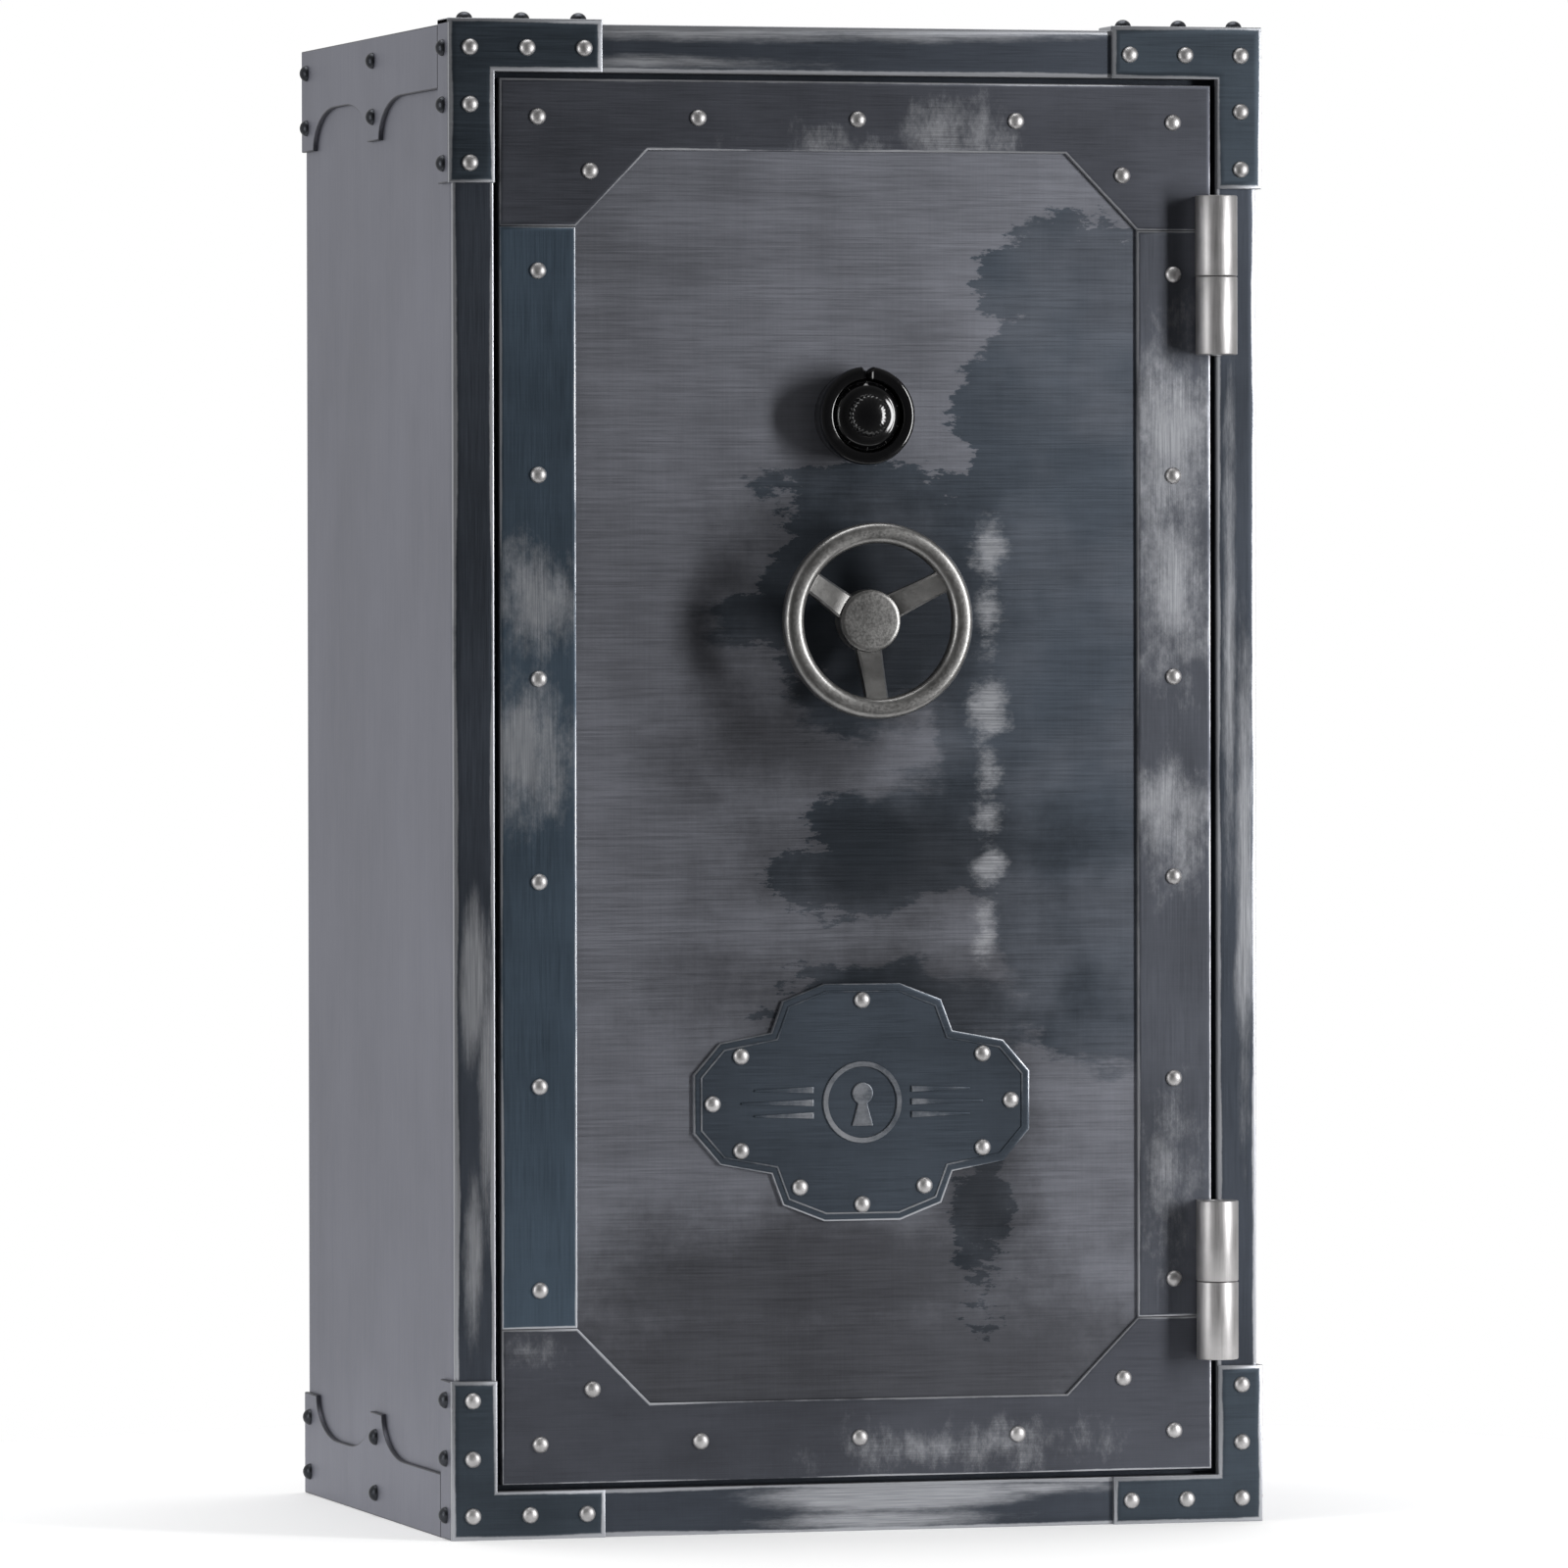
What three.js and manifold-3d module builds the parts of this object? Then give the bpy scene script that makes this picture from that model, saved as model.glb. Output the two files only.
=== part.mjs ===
// Gun safe with a riveted plate door, exterior hinges, a combination dial and a spoked handwheel.
// Millimetres, +Z up, the door faces -Y, and the origin is the centre of the base.
import * as THREE from 'three';
import { mergeVertices } from 'three/addons/utils/BufferGeometryUtils.js';
import Module from 'manifold-3d';

const wasm = await Module();
wasm.setup();

// Driving dimensions
const body = { width: 850, depth: 640, height: 1530, wall: 5 };
const frameWidth = { side: 43, end: 49 };
const gap = 0.3;
const front = -body.depth / 2;
const halfWidth = body.width / 2;
const opening = {
  halfX: halfWidth - frameWidth.side,
  low: frameWidth.end,
  high: body.height - frameWidth.end,
};
const doorClearance = 6;
const door = {
  halfX: opening.halfX - doorClearance,
  low: opening.low + doorClearance,
  high: opening.high - doorClearance,
  overlay: 4,
  plate: 12,
};
const doorBack = front + door.overlay + door.plate;
const middle = body.height / 2;
const ledge = { depth: 20, thickness: 5, reach: 32 };
const rivet = { radius: 8.5, height: 6, sides: 8 };
const bracket = { thickness: 4.5, reachX: 269.5, reachZ: 161, returnDepth: 42 };
const hinge = { x: 375.5, proud: 22, radius: 21.5, length: 163, seam: 80, pinRadius: 8 };
hinge.leaf = { reach: 16, thickness: 12 };
hinge.levels = { upper: 1280, lower: 250.5 };
const liner = { board: 20 };
const dial = { z: 1135, ringRadius: 50, ringProud: 38, knobRadius: 36, floorProud: 4 };
dial.spindle = 4;
dial.wheelRadius = 24;
const wheel = { z: 927, outerRadius: 99.5, rimRadius: 10.5, rimProud: 69 };
wheel.hub = { radius: 32, neckRadius: 22, proud: 45, backProud: 14, collarRadius: 24, collarProud: 12 };
const shaftRadius = 10;
const boltFrame = { inset: 46, wall: 4, depth: 71, panel: 7 };
const bolt = { radius: 14, depth: 46, rest: 8 };
const gear = { module: 2, teeth: 20, pressure: THREE.MathUtils.degToRad(20), backlash: 0.25 };
gear.radius = gear.module * gear.teeth / 2;
gear.addendum = 0.9 * gear.module;
gear.dedendum = 1.25 * gear.module;
const layer = { across: 38, upright: 50, thickness: 8 };
const rack = { back: gear.radius + gear.dedendum, width: 14, tail: 46 };
const lock = { halfX: 42, halfZ: 50, wall: 5, cover: 2.7, frontDepth: 36.6, backDepth: 66 };
const board = { thickness: 14, hardPlate: 6, hardHalf: 70 };

// How far a cutting tool runs past the faces it cuts
const beyond = 1;

// Finishes
const finish = (color, roughness, metalness) => () => (
  new THREE.MeshStandardMaterial({ color, roughness, metalness }));
const slateSteel = finish(0x3c424d, 0.42, 0.85);
const brushedSteel = finish(0x62636d, 0.48, 0.85);
const sideSteel = finish(0x6d6e77, 0.55, 0.6);
const blueSteel = finish(0x36414e, 0.42, 0.85);
const bareSteel = finish(0x9a9aa0, 0.38, 0.95);
const pewter = finish(0x77736d, 0.4, 0.95);
const blackGloss = finish(0x08080a, 0.08, 0.2);
const zincSteel = finish(0xa6a498, 0.4, 0.9);
const chromeSteel = finish(0xc4c6c8, 0.16, 1);
const brass = finish(0xa88b4a, 0.35, 0.9);
const carpet = finish(0x3b3a3a, 0.95, 0);
const boardFinish = finish(0xc9c4b8, 0.9, 0);
const sealRubber = finish(0x151515, 0.85, 0);

// Solids and meshes
function solidOf(geometry) {
  const bare = geometry.clone();
  bare.deleteAttribute('normal');
  bare.deleteAttribute('uv');
  const merged = mergeVertices(bare, 1e-4);
  return new wasm.Manifold(new wasm.Mesh({
    numProp: 3,
    vertProperties: new Float32Array(merged.attributes.position.array),
    triVerts: new Uint32Array(merged.index.array),
  }));
}

function geometryOf(solid) {
  const mesh = solid.getMesh();
  const geometry = new THREE.BufferGeometry();
  geometry.setAttribute('position', new THREE.BufferAttribute(new Float32Array(mesh.vertProperties), 3));
  geometry.setIndex(new THREE.BufferAttribute(new Uint32Array(mesh.triVerts), 1));
  return geometry;
}

const join = (first, ...others) => (
  geometryOf(others.reduce((sum, piece) => sum.add(solidOf(piece)), solidOf(first))));

const cut = (first, ...tools) => (
  geometryOf(tools.reduce((rest, tool) => rest.subtract(solidOf(tool)), solidOf(first))));

// A block between two corners
function block(x, y, z) {
  const geometry = new THREE.BoxGeometry(x[1] - x[0], y[1] - y[0], z[1] - z[0]);
  return geometry.translate((x[0] + x[1]) / 2, (y[0] + y[1]) / 2, (z[0] + z[1]) / 2);
}

const axisX = new THREE.Vector3(1, 0, 0);
const axisY = new THREE.Vector3(0, 1, 0);
const axisZ = new THREE.Vector3(0, 0, 1);

function extruded(shape, length, curveSegments = 6) {
  return new THREE.ExtrudeGeometry(shape, { depth: length, bevelEnabled: false, curveSegments });
}

// An outline drawn in X and Z, made solid between two Y values
function platedY(shape, y, curveSegments) {
  const geometry = extruded(shape, y[1] - y[0], curveSegments);
  return geometry.rotateX(Math.PI / 2).translate(0, y[1], 0);
}

// An outline drawn in Y and Z, made solid between two X values
function platedX(shape, x, curveSegments) {
  const geometry = extruded(shape, x[1] - x[0], curveSegments);
  geometry.applyMatrix4(new THREE.Matrix4().makeBasis(axisY, axisZ, axisX));
  return geometry.translate(x[0], 0, 0);
}

// An outline drawn in X and Y, made solid between two Z values
function platedZ(shape, z, curveSegments) {
  return extruded(shape, z[1] - z[0], curveSegments).translate(0, 0, z[0]);
}

const outline = (points) => new THREE.Shape(points.map(([a, b]) => new THREE.Vector2(a, b)));

// A round bar between two points
function bar(radius, start, end, sides = 20) {
  const from = new THREE.Vector3(...start);
  const to = new THREE.Vector3(...end);
  const along = to.clone().sub(from);
  const geometry = new THREE.CylinderGeometry(radius, radius, along.length(), sides);
  const turn = new THREE.Quaternion().setFromUnitVectors(axisY, along.normalize());
  return geometry.applyQuaternion(turn).translate(...from.add(to).divideScalar(2));
}

// A turned piece: radius and Y pairs that start and end on the axis, from the highest Y to the lowest
function turned(profile, x, z, sides = 32) {
  const points = profile.map(([radius, y]) => new THREE.Vector2(radius, y));
  return new THREE.LatheGeometry(points.reverse(), sides).translate(x, 0, z);
}

// A round rivet head whose foot is sunk into the plate
function rivetHead(at, facing) {
  const sunk = 2;
  const shoulder = 0.62;
  const profile = [[0, rivet.height], [rivet.radius * shoulder, rivet.height * 0.8], [rivet.radius, 0]];
  profile.push([rivet.radius, -sunk], [0, -sunk]);
  const points = profile.map(([radius, rise]) => new THREE.Vector2(radius, rise));
  const geometry = new THREE.LatheGeometry(points.reverse(), rivet.sides);
  const turn = new THREE.Quaternion().setFromUnitVectors(axisY, new THREE.Vector3(...facing));
  return geometry.applyQuaternion(turn).translate(...at);
}

const safe = new THREE.Group();
safe.name = 'gun_safe';

function add(name, geometry, material) {
  const mesh = new THREE.Mesh(geometry, material());
  mesh.name = name;
  safe.add(mesh);
}

const signOf = { left: -1, right: 1, top: 1, bottom: -1 };

const anchor = { x: 320, frontY: -200, backY: 230, radius: 7, linerRadius: 8, sides: 12 };
const anchorPlaces = () => [-anchor.x, anchor.x].flatMap((x) => [[x, anchor.frontY], [x, anchor.backY]]);

// Shell: two sides, top, base and back, each a welded plate behind the front frame
function addShell() {
  const shellFront = front + body.wall + gap;
  const back = -front;
  const insideX = halfWidth - body.wall;
  const between = [-insideX + gap, insideX - gap];
  for (const side of ['left', 'right']) {
    const edges = [signOf[side] * insideX, signOf[side] * halfWidth].sort((a, b) => a - b);
    add(`side_${side}`, block(edges, [shellFront, back], [0, body.height]), sideSteel);
  }
  add('top_plate', block(between, [shellFront, back], [body.height - body.wall, body.height]), sideSteel);
  const anchorHoles = anchorPlaces().map(([x, y]) => (
    bar(anchor.radius, [x, y, -beyond], [x, y, body.wall + beyond], anchor.sides)));
  const base = block(between, [shellFront, back], [0, body.wall]);
  add('base_plate', cut(base, ...anchorHoles), sideSteel);
  const backZ = [body.wall + gap, body.height - body.wall - gap];
  add('back_plate', block(between, [back - body.wall, back], backZ), sideSteel);
}

// Front frame: two stiles between two rails
function addFrontFrame() {
  const y = [front, front + body.wall];
  const upright = [opening.low + gap, opening.high - gap];
  add('frame_stile_left', block([-halfWidth, -opening.halfX], y, upright), slateSteel);
  add('frame_stile_right', block([opening.halfX, halfWidth], y, upright), slateSteel);
  add('frame_rail_top', block([-halfWidth, halfWidth], y, [opening.high, body.height]), slateSteel);
  add('frame_rail_bottom', block([-halfWidth, halfWidth], y, [0, opening.low]), slateSteel);
}

// A rectangular ring that stands off the door opening by two distances
function openingRing(outer, inner, y) {
  const ring = (grow, depth) => block(
    [-opening.halfX - grow, opening.halfX + grow],
    depth,
    [opening.low - grow, opening.high + grow],
  );
  return cut(ring(outer, y), ring(inner, [y[0] - beyond, y[1] + beyond]));
}

// Jamb: a return behind the frame and a ledge that the door closes against, with a seal on it
function addJamb() {
  const ledgeFront = front + ledge.depth;
  const ledgeBack = ledgeFront + ledge.thickness;
  const returnRing = openingRing(body.wall, 0, [front + body.wall + gap, ledgeBack]);
  const ledgeRing = openingRing(body.wall, -ledge.reach, [ledgeFront, ledgeBack]);
  add('door_jamb', join(returnRing, ledgeRing), slateSteel);
  const seal = { outer: -12, inner: -26 };
  add('door_seal', openingRing(seal.outer, seal.inner, [doorBack + gap, ledgeFront - gap]), sealRubber);
}

// Corner brackets: an angle plate on the frame, turned back over the side and, at the top, over the roof
function addCornerBrackets() {
  const proud = bracket.thickness;
  const columns = [407.5, 348, 288.5];
  const rows = [24.5, 82, 141];
  const returnRivetY = front + 20;
  for (const [level, end] of [['top', 1], ['bottom', -1]]) {
    for (const side of ['left', 'right']) {
      const turn = signOf[side];
      const x = (value) => turn * value;
      const z = (fromEnd) => (end > 0 ? body.height - fromEnd : fromEnd);
      const capX = halfWidth + gap + proud;
      const capZ = end > 0 ? -gap - proud : 0;
      const span = (a, b) => [a, b].sort((p, q) => p - q);
      const faceY = [front - gap - proud, front - gap];
      const across = block(span(x(bracket.reachX), x(capX)), faceY, span(z(capZ), z(frameWidth.end)));
      const down = block(span(x(opening.halfX), x(capX)), faceY, span(z(capZ), z(bracket.reachZ)));
      const sideReturn = block(
        span(x(halfWidth + gap), x(capX)),
        [faceY[0], front + bracket.returnDepth],
        span(z(capZ), z(bracket.reachZ)),
      );
      const pieces = [down, sideReturn];
      if (end > 0) {
        pieces.push(block(
          span(x(bracket.reachX), x(capX)),
          [faceY[0], front + bracket.returnDepth],
          span(z(-gap), z(capZ)),
        ));
        pieces.push(...columns.map((column) => rivetHead([x(column), returnRivetY, z(capZ)], [0, 0, 1])));
      }
      pieces.push(...columns.map((column) => rivetHead([x(column), faceY[0], z(rows[0])], [0, -1, 0])));
      pieces.push(...rows.slice(1).map((row) => rivetHead([x(columns[0]), faceY[0], z(row)], [0, -1, 0])));
      pieces.push(...rows.map((row) => rivetHead([x(capX), returnRivetY, z(row)], [turn, 0, 0])));
      add(`corner_bracket_${level}_${side}`, join(across, ...pieces), slateSteel);
    }
  }
}

// Side straps: a band with two feet whose flanks are quarter ellipses.
// Points are Y and the drop from the strap's straight edge.
function strapPoints() {
  const band = 65;
  const tip = 107;
  const footHalf = 25;
  const flank = 95;
  const steps = 4;
  const end = -front;
  const points = [[front + bracket.returnDepth + gap, 0], [front + bracket.returnDepth + gap, band]];
  for (const centre of [front + 320, front + 612]) {
    const curve = [...Array(steps + 1).keys()].map((step) => step / steps * Math.PI / 2);
    const dropAt = (angle) => band + (tip - band) * (1 - Math.cos(angle));
    const flankPoint = (angle) => [flank * (1 - Math.sin(angle)), dropAt(angle)];
    points.push(...curve.map(flankPoint).map(([away, drop]) => [centre - footHalf - away, drop]));
    if (centre + footHalf + flank < end) {
      points.push(...curve.reverse().map(flankPoint).map(([away, drop]) => [centre + footHalf + away, drop]));
    } else {
      points.push([end, tip]);
    }
  }
  points.push([end, 0]);
  return points;
}

function addSideStraps() {
  const rivetDrops = [24, 82];
  const rivetColumns = [front + 320, front + 616];
  for (const side of ['left', 'right']) {
    const turn = signOf[side];
    const near = turn * (halfWidth + gap);
    const far = near + turn * bracket.thickness;
    for (const level of ['top', 'bottom']) {
      const z = (drop) => (level === 'top' ? body.height - drop : drop);
      const shape = outline(strapPoints().map(([y, drop]) => [y, z(drop)]));
      const plate = platedX(shape, [near, far].sort((a, b) => a - b));
      const places = rivetColumns.flatMap((y) => rivetDrops.map((drop) => [far, y, z(drop)]));
      const heads = places.map((place) => rivetHead(place, [turn, 0, 0]));
      add(`side_strap_${level}_${side}`, join(plate, ...heads), sideSteel);
    }
  }
}

// Inside: carpeted liners, a full-width shelf, a divider, side shelves and a notched barrel rest
const inside = {
  x: halfWidth - body.wall - gap - liner.board - gap,
  low: body.wall + gap + liner.board + gap,
  high: body.height - body.wall - gap - liner.board - gap,
  front: front + 110,
  linerFront: front + ledge.depth + ledge.thickness + gap,
  back: -front - body.wall - gap - liner.board - gap,
};

function addLiners() {
  const sideX = [inside.x + gap, halfWidth - body.wall - gap];
  const depth = [inside.linerFront, -front - body.wall - gap];
  const tall = [body.wall + gap, body.height - body.wall - gap];
  add('liner_left', block([-sideX[1], -sideX[0]], depth, tall), carpet);
  add('liner_right', block(sideX, depth, tall), carpet);
  add('liner_back', block([-inside.x, inside.x], [inside.back + gap, depth[1]], tall), carpet);
  const across = [-inside.x, inside.x];
  add('liner_top', block(across, [depth[0], inside.back], [inside.high + gap, tall[1]]), carpet);
  const floor = block([-inside.x, inside.x], [depth[0], inside.back], [tall[0], inside.low - gap]);
  const holes = anchorPlaces().map(([x, y]) => (
    bar(anchor.linerRadius, [x, y, 0], [x, y, inside.low + beyond], anchor.sides)));
  add('liner_floor', cut(floor, ...holes), carpet);
}

function addStorage() {
  const shelf = 18;
  const topShelf = 1190;
  const dividerX = [90, 90 + shelf];
  const reach = [inside.front + 10, inside.back - gap];
  const full = [-inside.x + gap, inside.x - gap];
  add('top_shelf', block(full, reach, [topShelf, topShelf + shelf]), carpet);
  add('divider', block(dividerX, reach, [inside.low, topShelf - gap]), carpet);
  const shelfX = [dividerX[1] + gap, full[1]];
  for (const [name, z] of [['shelf_lower', 410], ['shelf_upper', 800]]) {
    add(name, block(shelfX, reach, [z, z + shelf]), carpet);
  }
  add('barrel_rest', platedZ(barrelRestShape(full[0], dividerX[0] - gap, reach[1]), [980, 1005]), carpet);
}

// The barrel rest: a board with round-ended notches along its front edge
function barrelRestShape(left, right, back) {
  const depth = 90;
  const notches = 5;
  const radius = 19;
  const pitch = (right - left) / notches;
  const edge = back - depth;
  const shape = new THREE.Shape();
  shape.moveTo(left, back);
  shape.lineTo(left, edge);
  for (let notch = 0; notch < notches; notch += 1) {
    const centre = left + pitch * (notch + 0.5);
    shape.lineTo(centre - radius, edge);
    shape.absarc(centre, edge + radius, radius, Math.PI, 0, true);
    shape.lineTo(centre + radius, edge);
  }
  shape.lineTo(right, edge);
  shape.lineTo(right, back);
  return shape;
}

// Hinges: a door knuckle above a frame knuckle on one pin, each knuckle a barrel with a flat leaf
function knuckle(z, leafX) {
  const axisPlace = front - hinge.proud;
  const past = [z[0] - beyond, z[1] + beyond];
  const barrel = bar(hinge.radius, [hinge.x, axisPlace, z[0]], [hinge.x, axisPlace, z[1]], 28);
  const leaf = block([hinge.x, leafX].sort((a, b) => a - b), [front - hinge.leaf.thickness, front - gap], z);
  const bore = bar(hinge.pinRadius + gap, [hinge.x, axisPlace, past[0]], [hinge.x, axisPlace, past[1]]);
  return cut(join(barrel, leaf), bore);
}

function addHinges() {
  const pinBelow = 1;
  const pinShort = 4;
  for (const [level, centre] of Object.entries(hinge.levels)) {
    const low = centre - hinge.length / 2;
    const high = centre + hinge.length / 2;
    const seam = low + hinge.seam;
    const axisPlace = front - hinge.proud;
    add(`hinge_${level}_frame_knuckle`, knuckle([low, seam], hinge.x + hinge.leaf.reach), bareSteel);
    add(`hinge_${level}_door_knuckle`, knuckle([seam + gap, high], hinge.x - hinge.leaf.reach), bareSteel);
    const pinEnds = [low - pinBelow, high - pinShort].map((z) => [hinge.x, axisPlace, z]);
    add(`hinge_${level}_pin`, bar(hinge.pinRadius, ...pinEnds), chromeSteel);
  }
}

// Door leaf: the plate, four riveted overlays round an eight-sided panel, and a badge
const panel = { halfX: 297, low: 135, high: 1403.5, chamfer: 76, sideLow: 212, sideHigh: 1326 };
const panelFace = front + door.overlay;

const through = (radius, x, z, y) => bar(radius, [x, y[0], z], [x, y[1], z]);

function addDoorPlate() {
  const y = [panelFace, doorBack];
  const plate = block([-door.halfX, door.halfX], y, [door.low, door.high]);
  const past = [y[0] - beyond, y[1] + beyond];
  const holes = [through(shaftRadius + gap, 0, wheel.z, past), through(dial.spindle + gap, 0, dial.z, past)];
  add('door_plate', cut(plate, ...holes), brushedSteel);
}

function addOverlays() {
  const y = [front, panelFace - gap];
  const columnX = 336;
  const rowX = [-336, -168, 0, 168, 336];
  const sideRows = [251, 457, 664, 869, 1075, 1281];
  const heads = (places) => places.map(([x, z]) => rivetHead([x, front, z], [0, -1, 0]));
  for (const side of ['left', 'right']) {
    const x = [signOf[side] * panel.halfX, signOf[side] * door.halfX].sort((a, b) => a - b);
    const strip = block(x, y, [panel.sideLow + gap, panel.sideHigh - gap]);
    const rows = sideRows.map((z) => [signOf[side] * columnX, z]);
    add(`overlay_${side}`, join(strip, ...heads(rows)), side === 'left' ? blueSteel : slateSteel);
  }
  const cornerX = 281.5;
  const ends = [
    ['top', door.high, panel.high, panel.sideHigh, 1436.5, 1382],
    ['bottom', door.low, panel.low, panel.sideLow, 95, 150],
  ];
  for (const [name, edge, inner, side, rowZ, cornerZ] of ends) {
    const topX = panel.halfX - panel.chamfer;
    const half = [[door.halfX, edge], [door.halfX, side], [panel.halfX, side], [topX, inner]];
    const points = [...half, ...half.map(([x, z]) => [-x, z]).reverse()];
    const places = [...rowX.map((x) => [x, rowZ]), [-cornerX, cornerZ], [cornerX, cornerZ]];
    add(`overlay_${name}`, join(platedY(outline(points), y), ...heads(places)), slateSteel);
  }
}

// A plain badge plate: a wide lozenge with stepped shoulders
function addBadge() {
  const centre = [3, 437];
  const quarter = [[178, 0], [178, 30], [150, 62], [96, 72], [84, 104], [40, 121], [0, 121]];
  const right = [...quarter.slice(1).map(([x, z]) => [x, -z]).reverse(), ...quarter];
  const left = right.slice(1, -1).map(([x, z]) => [-x, z]).reverse();
  const points = [...right, ...left].map(([x, z]) => [centre[0] + x, centre[1] + z]);
  const plate = platedY(outline(points), [front, panelFace - gap]);
  const places = [[158, 0], [-158, 0], [0, 104], [0, -104]];
  for (const x of [-1, 1]) {
    places.push([x * 128, 48], [x * 128, -48], [x * 66, -86]);
  }
  const heads = places.map(([x, z]) => rivetHead([centre[0] + x, front, centre[1] + z], [0, -1, 0]));
  add('badge_plate', join(plate, ...heads), slateSteel);
}

// Behind the door plate: fire board, hard plate, bolt frame, gear bracket and inner panel
const frameBack = doorBack + gap + boltFrame.depth;
const frameHalf = { x: door.halfX - boltFrame.inset, z: (door.high - door.low) / 2 - boltFrame.inset };
const boltRows = [-515, -265, 0, 265, 515];
const boltColumns = [-150, 150];
const boltY = front + bolt.depth;

function boltPlaces() {
  return {
    left: boltRows.map((z) => ({ side: [-1, 0], across: middle + z })),
    right: boltRows.map((z) => ({ side: [1, 0], across: middle + z })),
    top: boltColumns.map((x) => ({ side: [0, 1], across: x })),
    bottom: boltColumns.map((x) => ({ side: [0, -1], across: x })),
  };
}

// A bolt that points away from the door's centre, between two distances from it
function boltBar(place, radius, from, to) {
  const at = (distance) => (place.side[0]
    ? [place.side[0] * distance, boltY, place.across]
    : [place.across, boltY, middle + place.side[1] * distance]);
  return bar(radius, at(from), at(to), 20);
}

function addDoorBox() {
  const boardY = [doorBack + gap, doorBack + board.thickness];
  const boardX = frameHalf.x - boltFrame.wall - gap;
  const boardZ = frameHalf.z - boltFrame.wall - gap;
  const boardPlate = block([-boardX, boardX], boardY, [middle - boardZ, middle + boardZ]);
  const clearance = 2;
  const past = [boardY[0] - beyond, boardY[1] + beyond];
  const shaftHole = through(shaftRadius + clearance, 0, wheel.z, past);
  const spindleHole = through(dial.spindle + clearance, 0, dial.z, past);
  add('door_fire_board', cut(boardPlate, shaftHole, spindleHole), boardFinish);

  const hardY = [boardY[1] + gap, boardY[1] + board.hardPlate];
  const hardHalf = board.hardHalf;
  const hard = block([-hardHalf, hardHalf], hardY, [dial.z - hardHalf, dial.z + hardHalf]);
  const hardHole = through(dial.spindle + 1, 0, dial.z, [hardY[0] - beyond, hardY[1] + beyond]);
  add('hard_plate', cut(hard, hardHole), bareSteel);

  const frameY = [doorBack + gap, frameBack];
  const outer = block([-frameHalf.x, frameHalf.x], frameY, [middle - frameHalf.z, middle + frameHalf.z]);
  const innerX = frameHalf.x - boltFrame.wall;
  const innerZ = frameHalf.z - boltFrame.wall;
  const pastFrame = [frameY[0] - beyond, frameY[1] + beyond];
  const hollow = block([-innerX, innerX], pastFrame, [middle - innerZ, middle + innerZ]);
  const holes = Object.entries(boltPlaces()).flatMap(([side, places]) => {
    const wallAt = side === 'left' || side === 'right' ? frameHalf.x : frameHalf.z;
    const ends = [wallAt - boltFrame.wall - beyond, wallAt + beyond];
    return places.map((place) => boltBar(place, bolt.radius + 2 * gap, ...ends));
  });
  add('bolt_frame', cut(outer, hollow, ...holes), slateSteel);
  add('inner_panel', block(
    [-frameHalf.x, frameHalf.x],
    [frameBack + gap, frameBack + boltFrame.panel],
    [middle - frameHalf.z, middle + frameHalf.z],
  ), carpet);
}

// The bracket that carries the handle shaft behind the gear
function addGearBracket() {
  const half = 92;
  const post = { at: 76, radius: 6, sides: 12 };
  const clearance = 3;
  const thickness = 4;
  const plateFront = front + layer.upright + layer.thickness + clearance;
  const y = [plateFront, plateFront + thickness];
  const plate = block([-half, half], y, [wheel.z - half, wheel.z + half]);
  const corners = [-post.at, post.at].flatMap((x) => [-post.at, post.at].map((z) => [x, wheel.z + z]));
  const posts = corners.map(([x, z]) => (
    bar(post.radius, [x, doorBack + board.thickness + gap, z], [x, plateFront + beyond, z], post.sides)));
  const bearing = through(shaftRadius + gap, 0, wheel.z, [y[0] - beyond, y[1] + beyond]);
  add('gear_bracket', cut(join(plate, ...posts), bearing), zincSteel);
}

// Boltwork: each bar carries its bolts and a rack that the handle's gear drives outward.
// Rack outlines are drawn as distance out from the gear's axis, and distance to the side of it.
const toWorld = {
  left: ([out, aside]) => [-out, wheel.z + aside],
  top: ([out, aside]) => [aside, wheel.z + out],
  right: ([out, aside]) => [out, wheel.z - aside],
  bottom: ([out, aside]) => [-aside, wheel.z - out],
};

function rackTeeth() {
  const pitch = Math.PI * gear.module;
  const slope = Math.tan(gear.pressure);
  const half = pitch / 4 - gear.backlash / 2;
  const teeth = { first: 1, last: -7 };
  const points = [];
  for (let tooth = teeth.first; tooth >= teeth.last; tooth -= 1) {
    const centre = (tooth + 0.5) * pitch;
    const root = half + gear.dedendum * slope;
    const tip = half - gear.addendum * slope;
    points.push([centre + root, gear.radius + gear.dedendum], [centre + tip, gear.radius - gear.addendum]);
    points.push([centre - tip, gear.radius - gear.addendum], [centre - root, gear.radius + gear.dedendum]);
  }
  return points;
}

// A straight rack arm out to its bolt carrier
function straightRack(reach) {
  const far = rack.back + rack.width;
  return [[-rack.tail, rack.back], [-rack.tail, far], [reach, far], [reach, rack.back], ...rackTeeth()];
}

// A rack arm that steps aside to pass the lock
function steppedRack(reach) {
  const far = rack.back + rack.width;
  const step = { start: 95, width: 18, near: 57.5 };
  step.far = step.near + step.width;
  return [
    [-rack.tail, rack.back], [-rack.tail, far], [step.start, far], [step.start, step.far], [reach, step.far],
    [reach, step.near], [step.start + step.width, step.near], [step.start + step.width, rack.back],
    ...rackTeeth(),
  ];
}

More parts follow.
